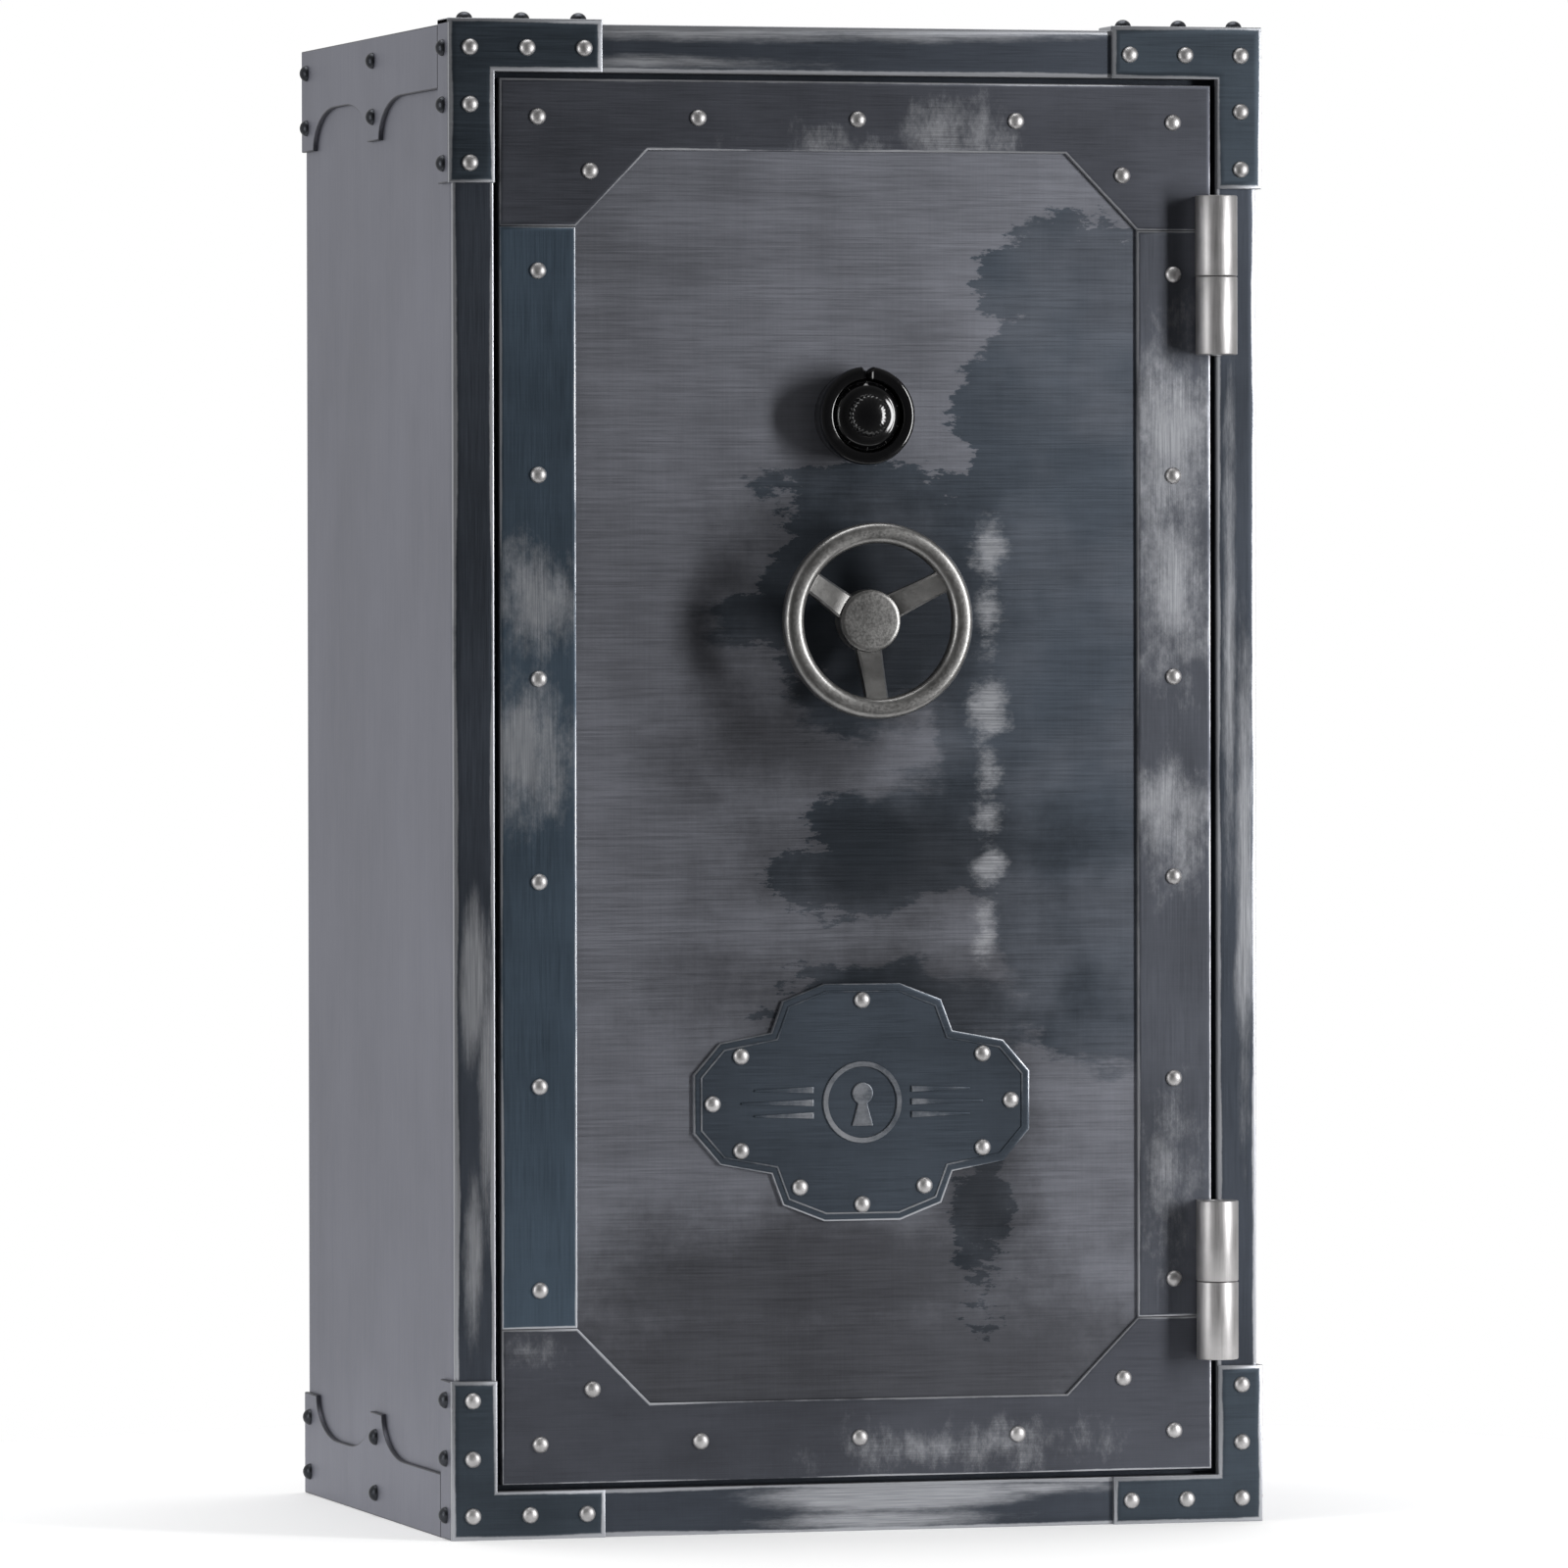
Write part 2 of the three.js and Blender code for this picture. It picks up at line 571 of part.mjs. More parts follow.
function addBoltBars() {
  const carrier = { near: 50, far: 38, beyondBolts: 20, overBolt: 4 };
  carrier.y = [front + layer.across, front + layer.upright + layer.thickness];
  for (const [side, places] of Object.entries(boltPlaces())) {
    const flat = side === 'left' || side === 'right';
    const wallAt = flat ? frameHalf.x : frameHalf.z;
    const near = wallAt - carrier.near;
    const far = wallAt - carrier.far;
    const offCentre = places.map((place) => Math.abs(place.across - (flat ? middle : 0)));
    const spread = Math.max(...offCentre) + carrier.beyondBolts;
    const ends = (a, b) => [signOf[side] * a, signOf[side] * b].sort((p, q) => p - q);
    const beam = flat
      ? block(ends(near, far), carrier.y, [middle - spread, middle + spread])
      : block([-spread, spread], carrier.y, ends(near, far).map((z) => z + middle));
    const offset = flat ? 0 : (signOf[side] * (middle - wheel.z));
    const reach = (near + far) / 2 + offset;
    const arm = flat ? straightRack(reach) : steppedRack(reach);
    const start = front + (flat ? layer.across : layer.upright);
    const armPlate = platedY(outline(arm.map(toWorld[side])), [start, start + layer.thickness]);
    const ofBolt = [near + carrier.overBolt, wallAt + bolt.rest];
    const bolts = places.map((place) => boltBar(place, bolt.radius, ...ofBolt));
    add(`bolt_bar_${side}`, join(beam, armPlate, ...bolts), chromeSteel);
  }
}

// An involute gear outline round the handle's axis
function gearOutline() {
  const baseRadius = gear.radius * Math.cos(gear.pressure);
  const outside = gear.radius + gear.addendum;
  const rootRadius = gear.radius - gear.dedendum;
  const involute = (angle) => Math.tan(angle) - angle;
  const halfAtPitch = (Math.PI * gear.module / 2 - gear.backlash) / (2 * gear.radius);
  const halfAt = (radius) => (
    halfAtPitch + involute(gear.pressure) - involute(Math.acos(Math.min(1, baseRadius / radius))));
  const steps = 3;
  const radiusAt = (step) => baseRadius + (outside - baseRadius) * step / steps;
  const flank = [...Array(steps + 1).keys()].map(radiusAt);
  const side = [rootRadius, ...flank];
  const points = [];
  for (let tooth = 0; tooth < gear.teeth; tooth += 1) {
    const centre = 2 * Math.PI * tooth / gear.teeth;
    const at = (radius, angle) => [
      radius * Math.cos(centre + angle),
      wheel.z + radius * Math.sin(centre + angle),
    ];
    points.push(...side.map((radius) => at(radius, -halfAt(Math.max(radius, baseRadius)))));
    points.push(...side.slice().reverse().map((radius) => at(radius, halfAt(Math.max(radius, baseRadius)))));
  }
  return outline(points);
}

// Handle: a dished wheel with three spokes on a shaft that carries the drive gear
function spoke(angle) {
  const inner = { radius: 18, width: 28, y: [front - 42, front - 26] };
  const outer = { radius: 90, width: 22, y: [front - 74, front - 62] };
  const geometry = new THREE.BoxGeometry(1, 1, 1);
  const places = geometry.attributes.position;
  for (let i = 0; i < places.count; i += 1) {
    const end = places.getX(i) > 0 ? outer : inner;
    places.setXYZ(i, end.radius, end.y[places.getY(i) > 0 ? 1 : 0], places.getZ(i) * end.width);
  }
  return geometry.rotateY(-angle).translate(0, 0, wheel.z);
}

function addHandle() {
  const { hub } = wheel;
  const rimMiddle = wheel.outerRadius - wheel.rimRadius;
  const rim = new THREE.TorusGeometry(rimMiddle, wheel.rimRadius, 10, 48);
  rim.rotateX(Math.PI / 2).translate(0, front - wheel.rimProud, wheel.z);
  const hubFront = front - hub.proud;
  const hubBack = front - hub.backProud;
  const flare = 12;
  const hubShape = turned([
    [0, hubBack], [hub.neckRadius, hubBack], [hub.radius, hubBack - flare],
    [hub.radius, hubFront], [0, hubFront],
  ], 0, wheel.z);
  const spokes = [30, 150, 270].map((degrees) => spoke(THREE.MathUtils.degToRad(degrees)));
  const capThickness = 10;
  const socket = through(shaftRadius + gap, 0, wheel.z, [hubFront + capThickness, hubBack + beyond]);
  add('handle_wheel', cut(join(hubShape, rim, ...spokes), socket), pewter);

  const shaftBack = front + 66;
  const shaft = through(shaftRadius, 0, wheel.z, [hubFront + capThickness + gap, shaftBack]);
  const gearY = [front + layer.across - 1, front + layer.upright + layer.thickness + 1];
  add('drive_shaft', join(shaft, platedY(gearOutline(), gearY)), bareSteel);

  const collarFront = front - hub.collarProud;
  const rounding = 3;
  const collar = turned([
    [0, panelFace - gap], [hub.collarRadius, panelFace - gap], [hub.collarRadius, collarFront + rounding],
    [hub.collarRadius - rounding, collarFront], [0, collarFront],
  ], 0, wheel.z);
  const collarBore = through(shaftRadius + gap, 0, wheel.z, [collarFront - beyond, panelFace + beyond]);
  add('handle_collar', cut(collar, collarBore), pewter);
}

// Dial: a fixed ring with an index notch, and the dial that turns in it
function addDial() {
  const bore = dial.knobRadius + 1;
  const lip = { back: 28, front: 34, bevel: 3 };
  const ringFront = front - dial.ringProud;
  const ring = turned([
    [0, panelFace - gap], [46, panelFace - gap], [47, front - 6], [dial.ringRadius, front - lip.back],
    [dial.ringRadius, front - lip.front], [dial.ringRadius - lip.bevel, ringFront], [0, ringFront],
  ], 0, dial.z, 40);
  const wellFloor = front - dial.floorProud;
  const well = through(bore, 0, dial.z, [ringFront - beyond, wellFloor]);
  const notchHalf = 4;
  const notch = block(
    [-notchHalf, notchHalf],
    [ringFront - beyond, ringFront + 2 * notchHalf],
    [dial.z + bore - notchHalf, dial.z + dial.ringRadius + beyond],
  );
  const spindleHole = through(dial.spindle + gap, 0, dial.z, [wellFloor - beyond, panelFace + beyond]);
  add('dial_ring', cut(ring, well, notch, spindleHole), blackGloss);

  const dialBack = wellFloor - 1;
  add('dial_knob', turned([
    [0, dialBack], [dial.knobRadius, dialBack], [dial.knobRadius, front - 30], [30, front - 36],
    [22, front - 38], [20, front - 48], [14, front - 51], [0, front - 52],
  ], 0, dial.z, 36), blackGloss);
}

// The dial's spindle with its driving cam, and the wheels that the combination lines up
function addLockWheels() {
  const cam = { radius: 22, y: [front + 58, front + 62] };
  const spindle = through(dial.spindle, 0, dial.z, [front - dial.floorProud - 1 + gap, cam.y[1]]);
  add('dial_spindle', join(spindle, through(cam.radius, 0, dial.z, cam.y)), brass);

  const discThickness = 2.5;
  const sleeve = { radius: 9, y: [front + 43, front + 57] };
  const discs = [44, 49, 54].map((depth) => (
    through(dial.wheelRadius, 0, dial.z, [front + depth, front + depth + discThickness])));
  const past = [sleeve.y[0] - beyond, sleeve.y[1] + beyond];
  const gate = block([-3, 3], past, [dial.z + dial.wheelRadius - 6, dial.z + dial.wheelRadius + 6]);
  const bored = through(dial.spindle + gap, 0, dial.z, past);
  const wheels = join(through(sleeve.radius, 0, dial.z, sleeve.y), ...discs);
  add('lock_wheels', cut(wheels, gate, bored), brass);
}

// Lock: a case open at the back, its cover, and the bolt that slides out beside the upright arm
function addLock() {
  const y = [front + lock.frontDepth, front + lock.backDepth];
  const slack = 0.4;
  const boltBox = { x: [-6, 46], y: [front + 46, front + 58], z: [dial.z + 28, dial.z + 43] };
  const grown = (span) => [span[0] - slack, span[1] + slack];
  const innerX = lock.halfX - lock.wall;
  const innerZ = lock.halfZ - lock.wall;
  const caseX = [-lock.halfX, lock.halfX];
  const caseZ = [dial.z - lock.halfZ, dial.z + lock.halfZ];
  const shell = block(caseX, y, caseZ);
  const innerY = [y[0] + lock.wall, y[1] + beyond];
  const hollow = block([-innerX, innerX], innerY, [dial.z - innerZ, dial.z + innerZ]);
  const slot = block([innerX - beyond, lock.halfX + beyond], grown(boltBox.y), grown(boltBox.z));
  const hole = through(dial.spindle + gap, 0, dial.z, [y[0] - beyond, y[0] + lock.wall + beyond]);
  add('lock_case', cut(shell, hollow, slot, hole), zincSteel);
  add('lock_cover', block(caseX, [y[1] + gap, y[1] + gap + lock.cover], caseZ), zincSteel);
  add('lock_bolt', block(boltBox.x, boltBox.y, boltBox.z), brass);
}

addShell();
addFrontFrame();
addJamb();
addCornerBrackets();
addSideStraps();
addLiners();
addStorage();
addHinges();
addDoorPlate();
addOverlays();
addBadge();
addDoorBox();
addGearBracket();
addBoltBars();
addHandle();
addDial();
addLockWheels();
addLock();

export default safe;
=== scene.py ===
"""The looks of a riveted gun safe: plates, rivets, handwheel, dial, hinges, boltwork and interior."""

import math

import bmesh
import bpy
from mathutils import Matrix, Vector


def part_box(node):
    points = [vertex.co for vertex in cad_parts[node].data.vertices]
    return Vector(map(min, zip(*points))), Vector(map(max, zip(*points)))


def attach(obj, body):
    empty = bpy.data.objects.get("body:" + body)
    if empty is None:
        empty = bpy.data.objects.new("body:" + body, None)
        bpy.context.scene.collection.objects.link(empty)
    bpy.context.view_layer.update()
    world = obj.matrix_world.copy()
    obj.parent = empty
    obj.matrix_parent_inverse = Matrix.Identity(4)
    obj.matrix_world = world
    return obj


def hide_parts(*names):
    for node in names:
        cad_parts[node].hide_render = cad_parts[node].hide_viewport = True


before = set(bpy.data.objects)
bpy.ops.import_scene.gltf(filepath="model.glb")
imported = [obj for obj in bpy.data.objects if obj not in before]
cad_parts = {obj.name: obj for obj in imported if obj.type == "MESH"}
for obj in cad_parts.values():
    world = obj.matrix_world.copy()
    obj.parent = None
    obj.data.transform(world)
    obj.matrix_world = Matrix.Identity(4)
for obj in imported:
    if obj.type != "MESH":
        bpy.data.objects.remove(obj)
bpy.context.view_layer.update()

MM = 0.001
SIDES = ("left", "right")
LEVELS = ("top", "bottom")
SIGN = {"left": -1, "right": 1}
UP = Vector((0, 0, 1))
OUTWARD = Vector((0, -1, 0))

# Shared sizes, in metres
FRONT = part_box("frame_rail_top")[0].y
HALF_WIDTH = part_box("frame_rail_top")[1].x
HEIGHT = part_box("frame_rail_top")[1].z
OPENING_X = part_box("frame_stile_right")[0].x
DOOR_LOW, DOOR_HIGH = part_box("door_plate")
PANEL_FACE = DOOR_LOW.y
WHEEL_Z = (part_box("handle_wheel")[0].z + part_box("handle_wheel")[1].z) / 2
DIAL_Z = (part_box("dial_ring")[0].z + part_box("dial_ring")[1].z) / 2
RIVET_RADIUS = 8.5 * MM
RIVET_HEIGHT = 5.5 * MM
SIDE_RIVET_HEIGHT = 7.5 * MM


# -------------------- meshes

# How far a rounded edge's middle lies in from its corner, as a part of the radius
ROUNDING = 0.3
# How far the band at a plate's edge usually reaches over its face. It carries wear; on the front frame it
# also paints the highlight where the rounded corners catch light, and on the side straps it is painted
# shadow.
EDGE_BAND = 9 * MM


def add_object(name, data):
    """A new object in the scene."""
    made = bpy.data.objects.new(name, data)
    bpy.context.scene.collection.objects.link(made)
    return made


def finish(bm, name, angle, body, look, *replaces):
    """Turns a bmesh into a piece that rides on a body, in one of the looks below.

    It is smooth over edges that bend less than the angle in degrees, or flat if the angle is 0.
    """
    bmesh.ops.recalc_face_normals(bm, faces=bm.faces)
    mesh = bpy.data.meshes.new(name)
    bm.to_mesh(mesh)
    bm.free()
    if angle:
        mesh.shade_smooth()
        mesh.set_sharp_from_angle(angle=math.radians(angle))
    mesh.materials.append(MATERIALS[look])
    piece = add_object(name, mesh)
    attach(piece, body)
    if replaces:
        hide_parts(*replaces)
    return piece


def offset_outline(outline, inward):
    """Moves each corner of a counter-clockwise outline inward by the same distance from both its edges."""
    moved = []
    count = len(outline)
    for i, point in enumerate(outline):
        before = (point - outline[i - 1]).normalized()
        after = (outline[(i + 1) % count] - point).normalized()
        normal_before = Vector((-before.y, before.x))
        normal_after = Vector((-after.y, after.x))
        middle = (normal_before + normal_after).normalized()
        moved.append(point + middle * (inward / max(0.35, middle.dot(normal_before))))
    return moved


def counter_clockwise(outline):
    """The outline as 2-D vectors, turned to run counter-clockwise."""
    points = [Vector(p) for p in outline]
    area = sum(a.cross(b) for a, b in zip(points, points[1:] + points[:1]))
    return points if area > 0 else points[::-1]


# How a plate's outline and its height map to the object's axes, by the way that the plate faces
FACINGS = {
    "front": lambda u, v, h: Vector((u, -h, v)),
    "top": lambda u, v, h: Vector((u, v, h)),
    "left": lambda u, v, h: Vector((-h, u, v)),
    "right": lambda u, v, h: Vector((h, u, v)),
    "back": lambda u, v, h: Vector((u, h, v)),
}


def edge_layer(bm):
    """The attribute "edge": 1 in the band along an edge, where the finishes draw wear, a painted highlight
    on the frame and a painted shadow on the straps; 0 on open surfaces.
    """
    return bm.verts.layers.float.get("edge") or bm.verts.layers.float.new("edge")


def rounded_edge(back, face, bevel, edge_band):
    """Steps up a plate's edge and in over its face: how far in, how high, and how much of the edge band it
    takes.
    """
    nick = bevel * ROUNDING
    side = [(0, back, 1.0), (0, face - bevel, 1.0)]
    top = [(nick, face - nick, 1.0), (bevel, face, 1.0), (edge_band, face, 0.0)]
    return side + top


def outline_loop(bm, points, place, inward, height, edge):
    """One loop of verts along an outline moved inward."""
    loop = [bm.verts.new(place(p.x, p.y, height)) for p in offset_outline(points, inward)]
    for vert in loop:
        vert[edge_layer(bm)] = edge
    return loop


def bridge(bm, low, high):
    """Joins two loops of equal length with faces."""
    faces = []
    for i in range(len(low)):
        j = (i + 1) % len(low)
        faces.append(bm.faces.new((low[i], low[j], high[j], high[i])))
    return faces


def plate(bm, outline, facing, back, face, bevel, edge_band):
    """A plate with rounded edges, with an edge band at its outline."""
    edge_layer(bm)
    points = counter_clockwise(outline)
    steps = rounded_edge(back, face, bevel, edge_band)
    loops = [outline_loop(bm, points, FACINGS[facing], *step) for step in steps]
    for low, high in zip(loops, loops[1:]):
        bridge(bm, low, high)
    bm.faces.new(loops[-1])
    bm.faces.new(loops[0][::-1])


def rectangle(low_u, high_u, low_v, high_v):
    """The four corners of an upright rectangle."""
    return [(low_u, low_v), (high_u, low_v), (high_u, high_v), (low_u, high_v)]


def circle(bm, radius, height, sides):
    """A ring of verts round the Z axis."""
    turns = [2 * math.pi * i / sides for i in range(sides)]
    return [bm.verts.new((radius * math.cos(turn), radius * math.sin(turn), height)) for turn in turns]


def closed_ring(bm, section, sides):
    """A ring round the Z axis, from a closed section of radius and height pairs."""
    rings = [circle(bm, radius, height, sides) for radius, height in section]
    for low, high in zip(rings, rings[1:] + rings[:1]):
        bridge(bm, low, high)
    return [vert for ring in rings for vert in ring]


def turned_rings(bm, profile, sides):
    """A closed turned shape round Z, from radius and height pairs that start and end on the axis."""
    rings = []
    for radius, height in profile:
        rings.append(circle(bm, radius, height, sides) if radius > 0 else [bm.verts.new((0, 0, height))])
    for low, high in zip(rings, rings[1:]):
        for i in range(sides):
            j = (i + 1) % sides
            corners = [low[i % len(low)], low[j % len(low)], high[j % len(high)], high[i % len(high)]]
            unique = list(dict.fromkeys(corners))
            if len(unique) > 2:
                bm.faces.new(unique)
    return [vert for ring in rings for vert in ring]


def stand(bm, verts, at, facing):
    """Turns verts made round +Z to face a direction, and moves them to a place."""
    turn = UP.rotation_difference(Vector(facing)).to_matrix().to_4x4()
    bmesh.ops.transform(bm, matrix=Matrix.Translation(at) @ turn, verts=verts)


def turned_piece(name, profile, at, facing, body, look, node, sides=64):
    """A turned shape as one piece."""
    bm = bmesh.new()
    stand(bm, turned_rings(bm, profile, sides), at, facing)
    finish(bm, name, 35, body, look, node)


def rivets(name, places, facing, body, look="rivet", height=RIVET_HEIGHT):
    """Domed rivet heads at places on a plate, as one piece."""
    bm = bmesh.new()
    steps, sides = 6, 24
    foot = 1 * MM
    turns = [math.pi / 2 * step / steps for step in range(steps)]
    dome = [(RIVET_RADIUS * math.cos(turn), height * math.sin(turn)) for turn in turns]
    profile = [(0, -foot), (RIVET_RADIUS, -foot), *dome, (0, height)]
    for at in places:
        stand(bm, turned_rings(bm, profile, sides), at, facing)
    finish(bm, name, 50, body, look)


# -------------------- materials

class Shader:
    """One material, built with short calls. Textures use the piece's own coordinates, in metres."""

    def __init__(self, name, color, roughness, metallic=0.0):
        self.material = bpy.data.materials.new(name)
        self.material.use_nodes = True
        self.nodes = self.material.node_tree.nodes
        self.links = self.material.node_tree.links
        self.bsdf = self.nodes["Principled BSDF"]
        self.coords = self.nodes.new("ShaderNodeTexCoord").outputs["Object"]
        self.set("Base Color", (*color, 1))
        self.set("Roughness", roughness)
        self.set("Metallic", metallic)

    def set(self, socket, value):
        self.put(self.bsdf.inputs[socket], value)

    def put(self, socket, value):
        """A linked output or a plain value into a socket."""
        if isinstance(value, bpy.types.NodeSocket):
            self.links.new(value, socket)
        elif hasattr(socket.default_value, "__len__") and hasattr(value, "__len__"):
            socket.default_value = (*value, 1)[: len(socket.default_value)]
        else:
            socket.default_value = value

    def node(self, kind, inputs, **settings):
        node = self.nodes.new("ShaderNode" + kind)
        for key, value in settings.items():
            setattr(node, key, value)
        for key, value in inputs.items():
            self.put(node.inputs[key], value)
        return node

    def math(self, operation, first, second):
        return self.node("Math", {0: first, 1: second}, operation=operation).outputs[0]

    def vector(self, operation, first, second=(0, 0, 0)):
        return self.node("VectorMath", {0: first, 1: second}, operation=operation)

    def noise(self, scale, detail=4, roughness=0.55, stretch=(1, 1, 1)):
        """Noise from 0 to 1. The scale is in cells per metre, and stretch makes it coarser along an axis."""
        shrink = tuple(1 / s for s in stretch)
        place = self.vector("MULTIPLY", self.coords, shrink).outputs[0]
        inputs = {"Vector": place, "Scale": scale, "Detail": detail, "Roughness": roughness}
        return self.node("TexNoise", inputs).outputs[0]

    def step(self, value, low, high, to_low=0.0, to_high=1.0):
        """A smooth step of a value from low to high."""
        inputs = {"Value": value, "From Min": low, "From Max": high, "To Min": to_low, "To Max": to_high}
        return self.node("MapRange", inputs, interpolation_type="SMOOTHSTEP").outputs[0]

    def mix(self, amount, first, second):
        node = self.node("Mix", {}, data_type="RGBA")
        self.put(node.inputs[0], amount)
        self.put(node.inputs[6], first)
        self.put(node.inputs[7], second)
        return node.outputs[2]

    def total(self, *values):
        """The sum of several values."""
        result = values[0]
        for value in values[1:]:
            result = self.math("ADD", result, value)
        return result

    def product(self, first, second):
        return self.math("MULTIPLY", first, second)

    def centred(self, value, strength):
        """A noise value moved to swing round zero, times a strength."""
        return self.product(self.math("SUBTRACT", value, 0.5), strength)

    def tinted(self, color, amount):
        """A colour times a number."""
        node = self.vector("SCALE", color)
        self.put(node.inputs["Scale"], amount)
        return node.outputs[0]

    def edge(self):
        return self.node("Attribute", {}, attribute_name="edge").outputs["Fac"]

    def blobs(self, places):
        """How far inside the nearest of several ovals in X and Z a point is, in metres; negative outside."""
        best = None
        for x, z, half_x, half_z in places:
            away = self.vector("SUBTRACT", self.coords, (x, 0, z)).outputs[0]
            scaled = self.vector("MULTIPLY", away, (1 / half_x, 0, 1 / half_z)).outputs[0]
            length = self.vector("LENGTH", scaled).outputs["Value"]
            value = self.math("MULTIPLY", self.math("SUBTRACT", 1.0, length), min(half_x, half_z))
            best = value if best is None else self.math("MAXIMUM", best, value)
        return best

    def bump(self, height, strength, distance=0.4 * MM):
        node = self.node("Bump", {"Height": height, "Strength": strength, "Distance": distance})
        self.set("Normal", node.outputs[0])


# Colours of the finishes
# The colour of polished wear, and of the painted highlights on the frame
POLISH_AND_HIGHLIGHT = (0.50, 0.51, 0.54)
# Painted shadow: the near-black colour at the edges of the side straps and bracket wings
STRAP_PAINTED_SHADOW = (0.02, 0.02, 0.024)
SLATE = (0.062, 0.075, 0.094)
PANEL_GREY = (0.178, 0.184, 0.21)
SIDE_GREY = (0.2, 0.205, 0.245)
OVERLAY_GREY = (0.066, 0.07, 0.084)
OVERLAY_BLUE = (0.062, 0.087, 0.116)
OVERLAY_PALE = (0.08, 0.086, 0.103)
FRAME_BLUE = (0.05, 0.058, 0.073)
BRACKET_BLUE = (0.042, 0.054, 0.068)

# Frayed edges of smears and painted highlight bands: cells per metre, stretch, and how far they reach in
# metres
WISPS = (20, (1, 1, 1.8), 0.15)
FINE_WISPS = (46, (1.8, 1, 1), 0.055)
LONG_WISPS_X = (14, (5, 1, 1), 0.03)
LONG_WISPS_Z = (14, (1, 1, 5), 0.03)


def brushed(shader, along, fine=900):
    """Brush marks that run along one axis, from 0 to 1."""
    stretch = {"x": (60, 1, 1), "z": (1, 1, 60), "y": (1, 60, 1)}[along]
    return shader.noise(fine, 3, 0.6, stretch)


def patched_color(shader, base, patches):
    """The base colour with torn patches of slate, crisp at some of their edges and smoky at others. Round
    the handwheel the patches also paint the wheel's shadow.
    """
    lobes = shader.centred(shader.noise(8, 3, 0.5), 0.08)
    tears = shader.centred(shader.noise(30, 9, 0.74, (2.8, 1, 1)), 0.12)
    crisp = shader.step(shader.noise(3.2, 2, 0.5), 0.4, 0.58, 0.12, 1.0)
    inside = shader.product(shader.total(shader.blobs(patches), lobes, tears), crisp)
    fading = shader.step(shader.noise(6, 3, 0.5), 0.36, 0.6, 0.7, 1.0)
    return shader.mix(shader.product(shader.step(inside, -0.001, 0.003), fading), base, SLATE)


def steel_tone(shader, marks, cross, along, cloudy):
    """How light the steel is: clouds, bands along the brushing and the brush marks themselves."""
    clouds = shader.noise(4.5, 6, 0.62)
    stretch = (7, 1, 1) if along == "x" else (1, 1, 7)
    bands = shader.centred(shader.noise(16, 3, 0.6, stretch), 0.5)
    middle = -0.76
    tone = shader.total(shader.product(marks, 0.4), shader.product(cross, 0.12), bands, clouds, middle)
    return shader.step(tone, -0.35, 0.35, 1 - cloudy, 1 + cloudy)


def shade_and_darkening(shader, dark_blobs):
    """How much of the colour is left under painted shade and darkening: dark blobs with frayed edges."""
    drift = shader.centred(shader.noise(12, 7, 0.66), 0.12)
    return shader.step(shader.total(shader.blobs(dark_blobs), drift), -0.03, 0.07, 1.0, 0.38)


def edge_wear_and_light(shader, edge_marks):
    """How strong the edge marks are: wear, and a painted highlight on the frame and a painted shadow on the
    straps; broken into stretches, and uneven.
    """
    unevenness = shader.product(shader.noise(38, 6, 0.7), 0.5)
    stretches = shader.centred(shader.noise(5, 2, 0.5), 1.6)
    edge = shader.product(shader.edge(), edge_marks)
    return shader.step(shader.total(edge, unevenness, stretches), 0.95, 1.35, 0.0, 0.75)


def polish_and_highlight_smears(shader, marks, smears_and_highlights, wisps):
    """How bright the polished smears and painted highlights are, frayed at their edges and streaked along
    the brush marks.
    """
    fineness, stretch, reach = wisps
    frayed = shader.centred(shader.noise(fineness, 9, 0.75, stretch), reach)
    inside = shader.total(shader.blobs(smears_and_highlights), frayed)
    brightened = shader.step(inside, -0.08 * reach, 0.33 * reach, 0.0, 0.85)
    return shader.product(brightened, shader.step(marks, 0.2, 0.75, 0.5, 1.0))


def steel_relief(shader, marks, cross):
    """Fine brush marks over a faint waviness of the sheet."""
    waves = shader.product(shader.noise(22, 3, 0.5), 0.5)
    shader.bump(shader.total(shader.product(marks, 0.25), shader.product(cross, 0.05), waves), 0.2)


def distressed_steel(
    name, base, along="x", patches=(), dark_blobs=(), smears_and_highlights=(), wisps=WISPS,
    roughness=0.44, edge_marks=1.0, cloudy=0.3, edge_and_smear_color=POLISH_AND_HIGHLIGHT,
):
    """Hand-finished steel: brush marks, torn patches, painted shade and darkening, polished smears and
    painted highlights, and edge marks of wear, painted highlight and painted shadow.
    """
    shader = Shader(name, base, roughness, 0.85)
    marks = brushed(shader, along)
    cross = brushed(shader, "z" if along == "x" else "x", 600)
    color = patched_color(shader, base, patches) if patches else base
    tone = steel_tone(shader, marks, cross, along, cloudy)
    if dark_blobs:
        tone = shader.product(tone, shade_and_darkening(shader, dark_blobs))
    bright = edge_wear_and_light(shader, edge_marks)
    if smears_and_highlights:
        bright = shader.math("MAXIMUM", bright, polish_and_highlight_smears(shader, marks, smears_and_highlights, wisps))
    shader.set("Base Color", shader.mix(bright, shader.tinted(color, tone), edge_and_smear_color))
    rough = shader.step(marks, 0.2, 0.8, roughness - 0.06, roughness + 0.06)
    shader.set("Roughness", shader.math("SUBTRACT", rough, shader.product(bright, 0.08)))
    steel_relief(shader, marks, cross)
    return shader.material


def turned_steel(name, base, roughness, along="x", strength=0.12):
    """Bare machined steel with fine tool marks and faint staining."""
    shader = Shader(name, base, roughness, 1.0)
    marks = brushed(shader, along, 1400)
    stain = shader.noise(30, 5, 0.6)
    tone = shader.step(shader.math("ADD", marks, stain), 0.6, 1.4, 0.8, 1.15)
    shader.set("Base Color", shader.tinted(base, tone))
    shader.set("Roughness", shader.step(marks, 0.2, 0.8, roughness - 0.06, roughness + 0.08))
    shader.bump(marks, strength, 0.2 * MM)
    return shader.material


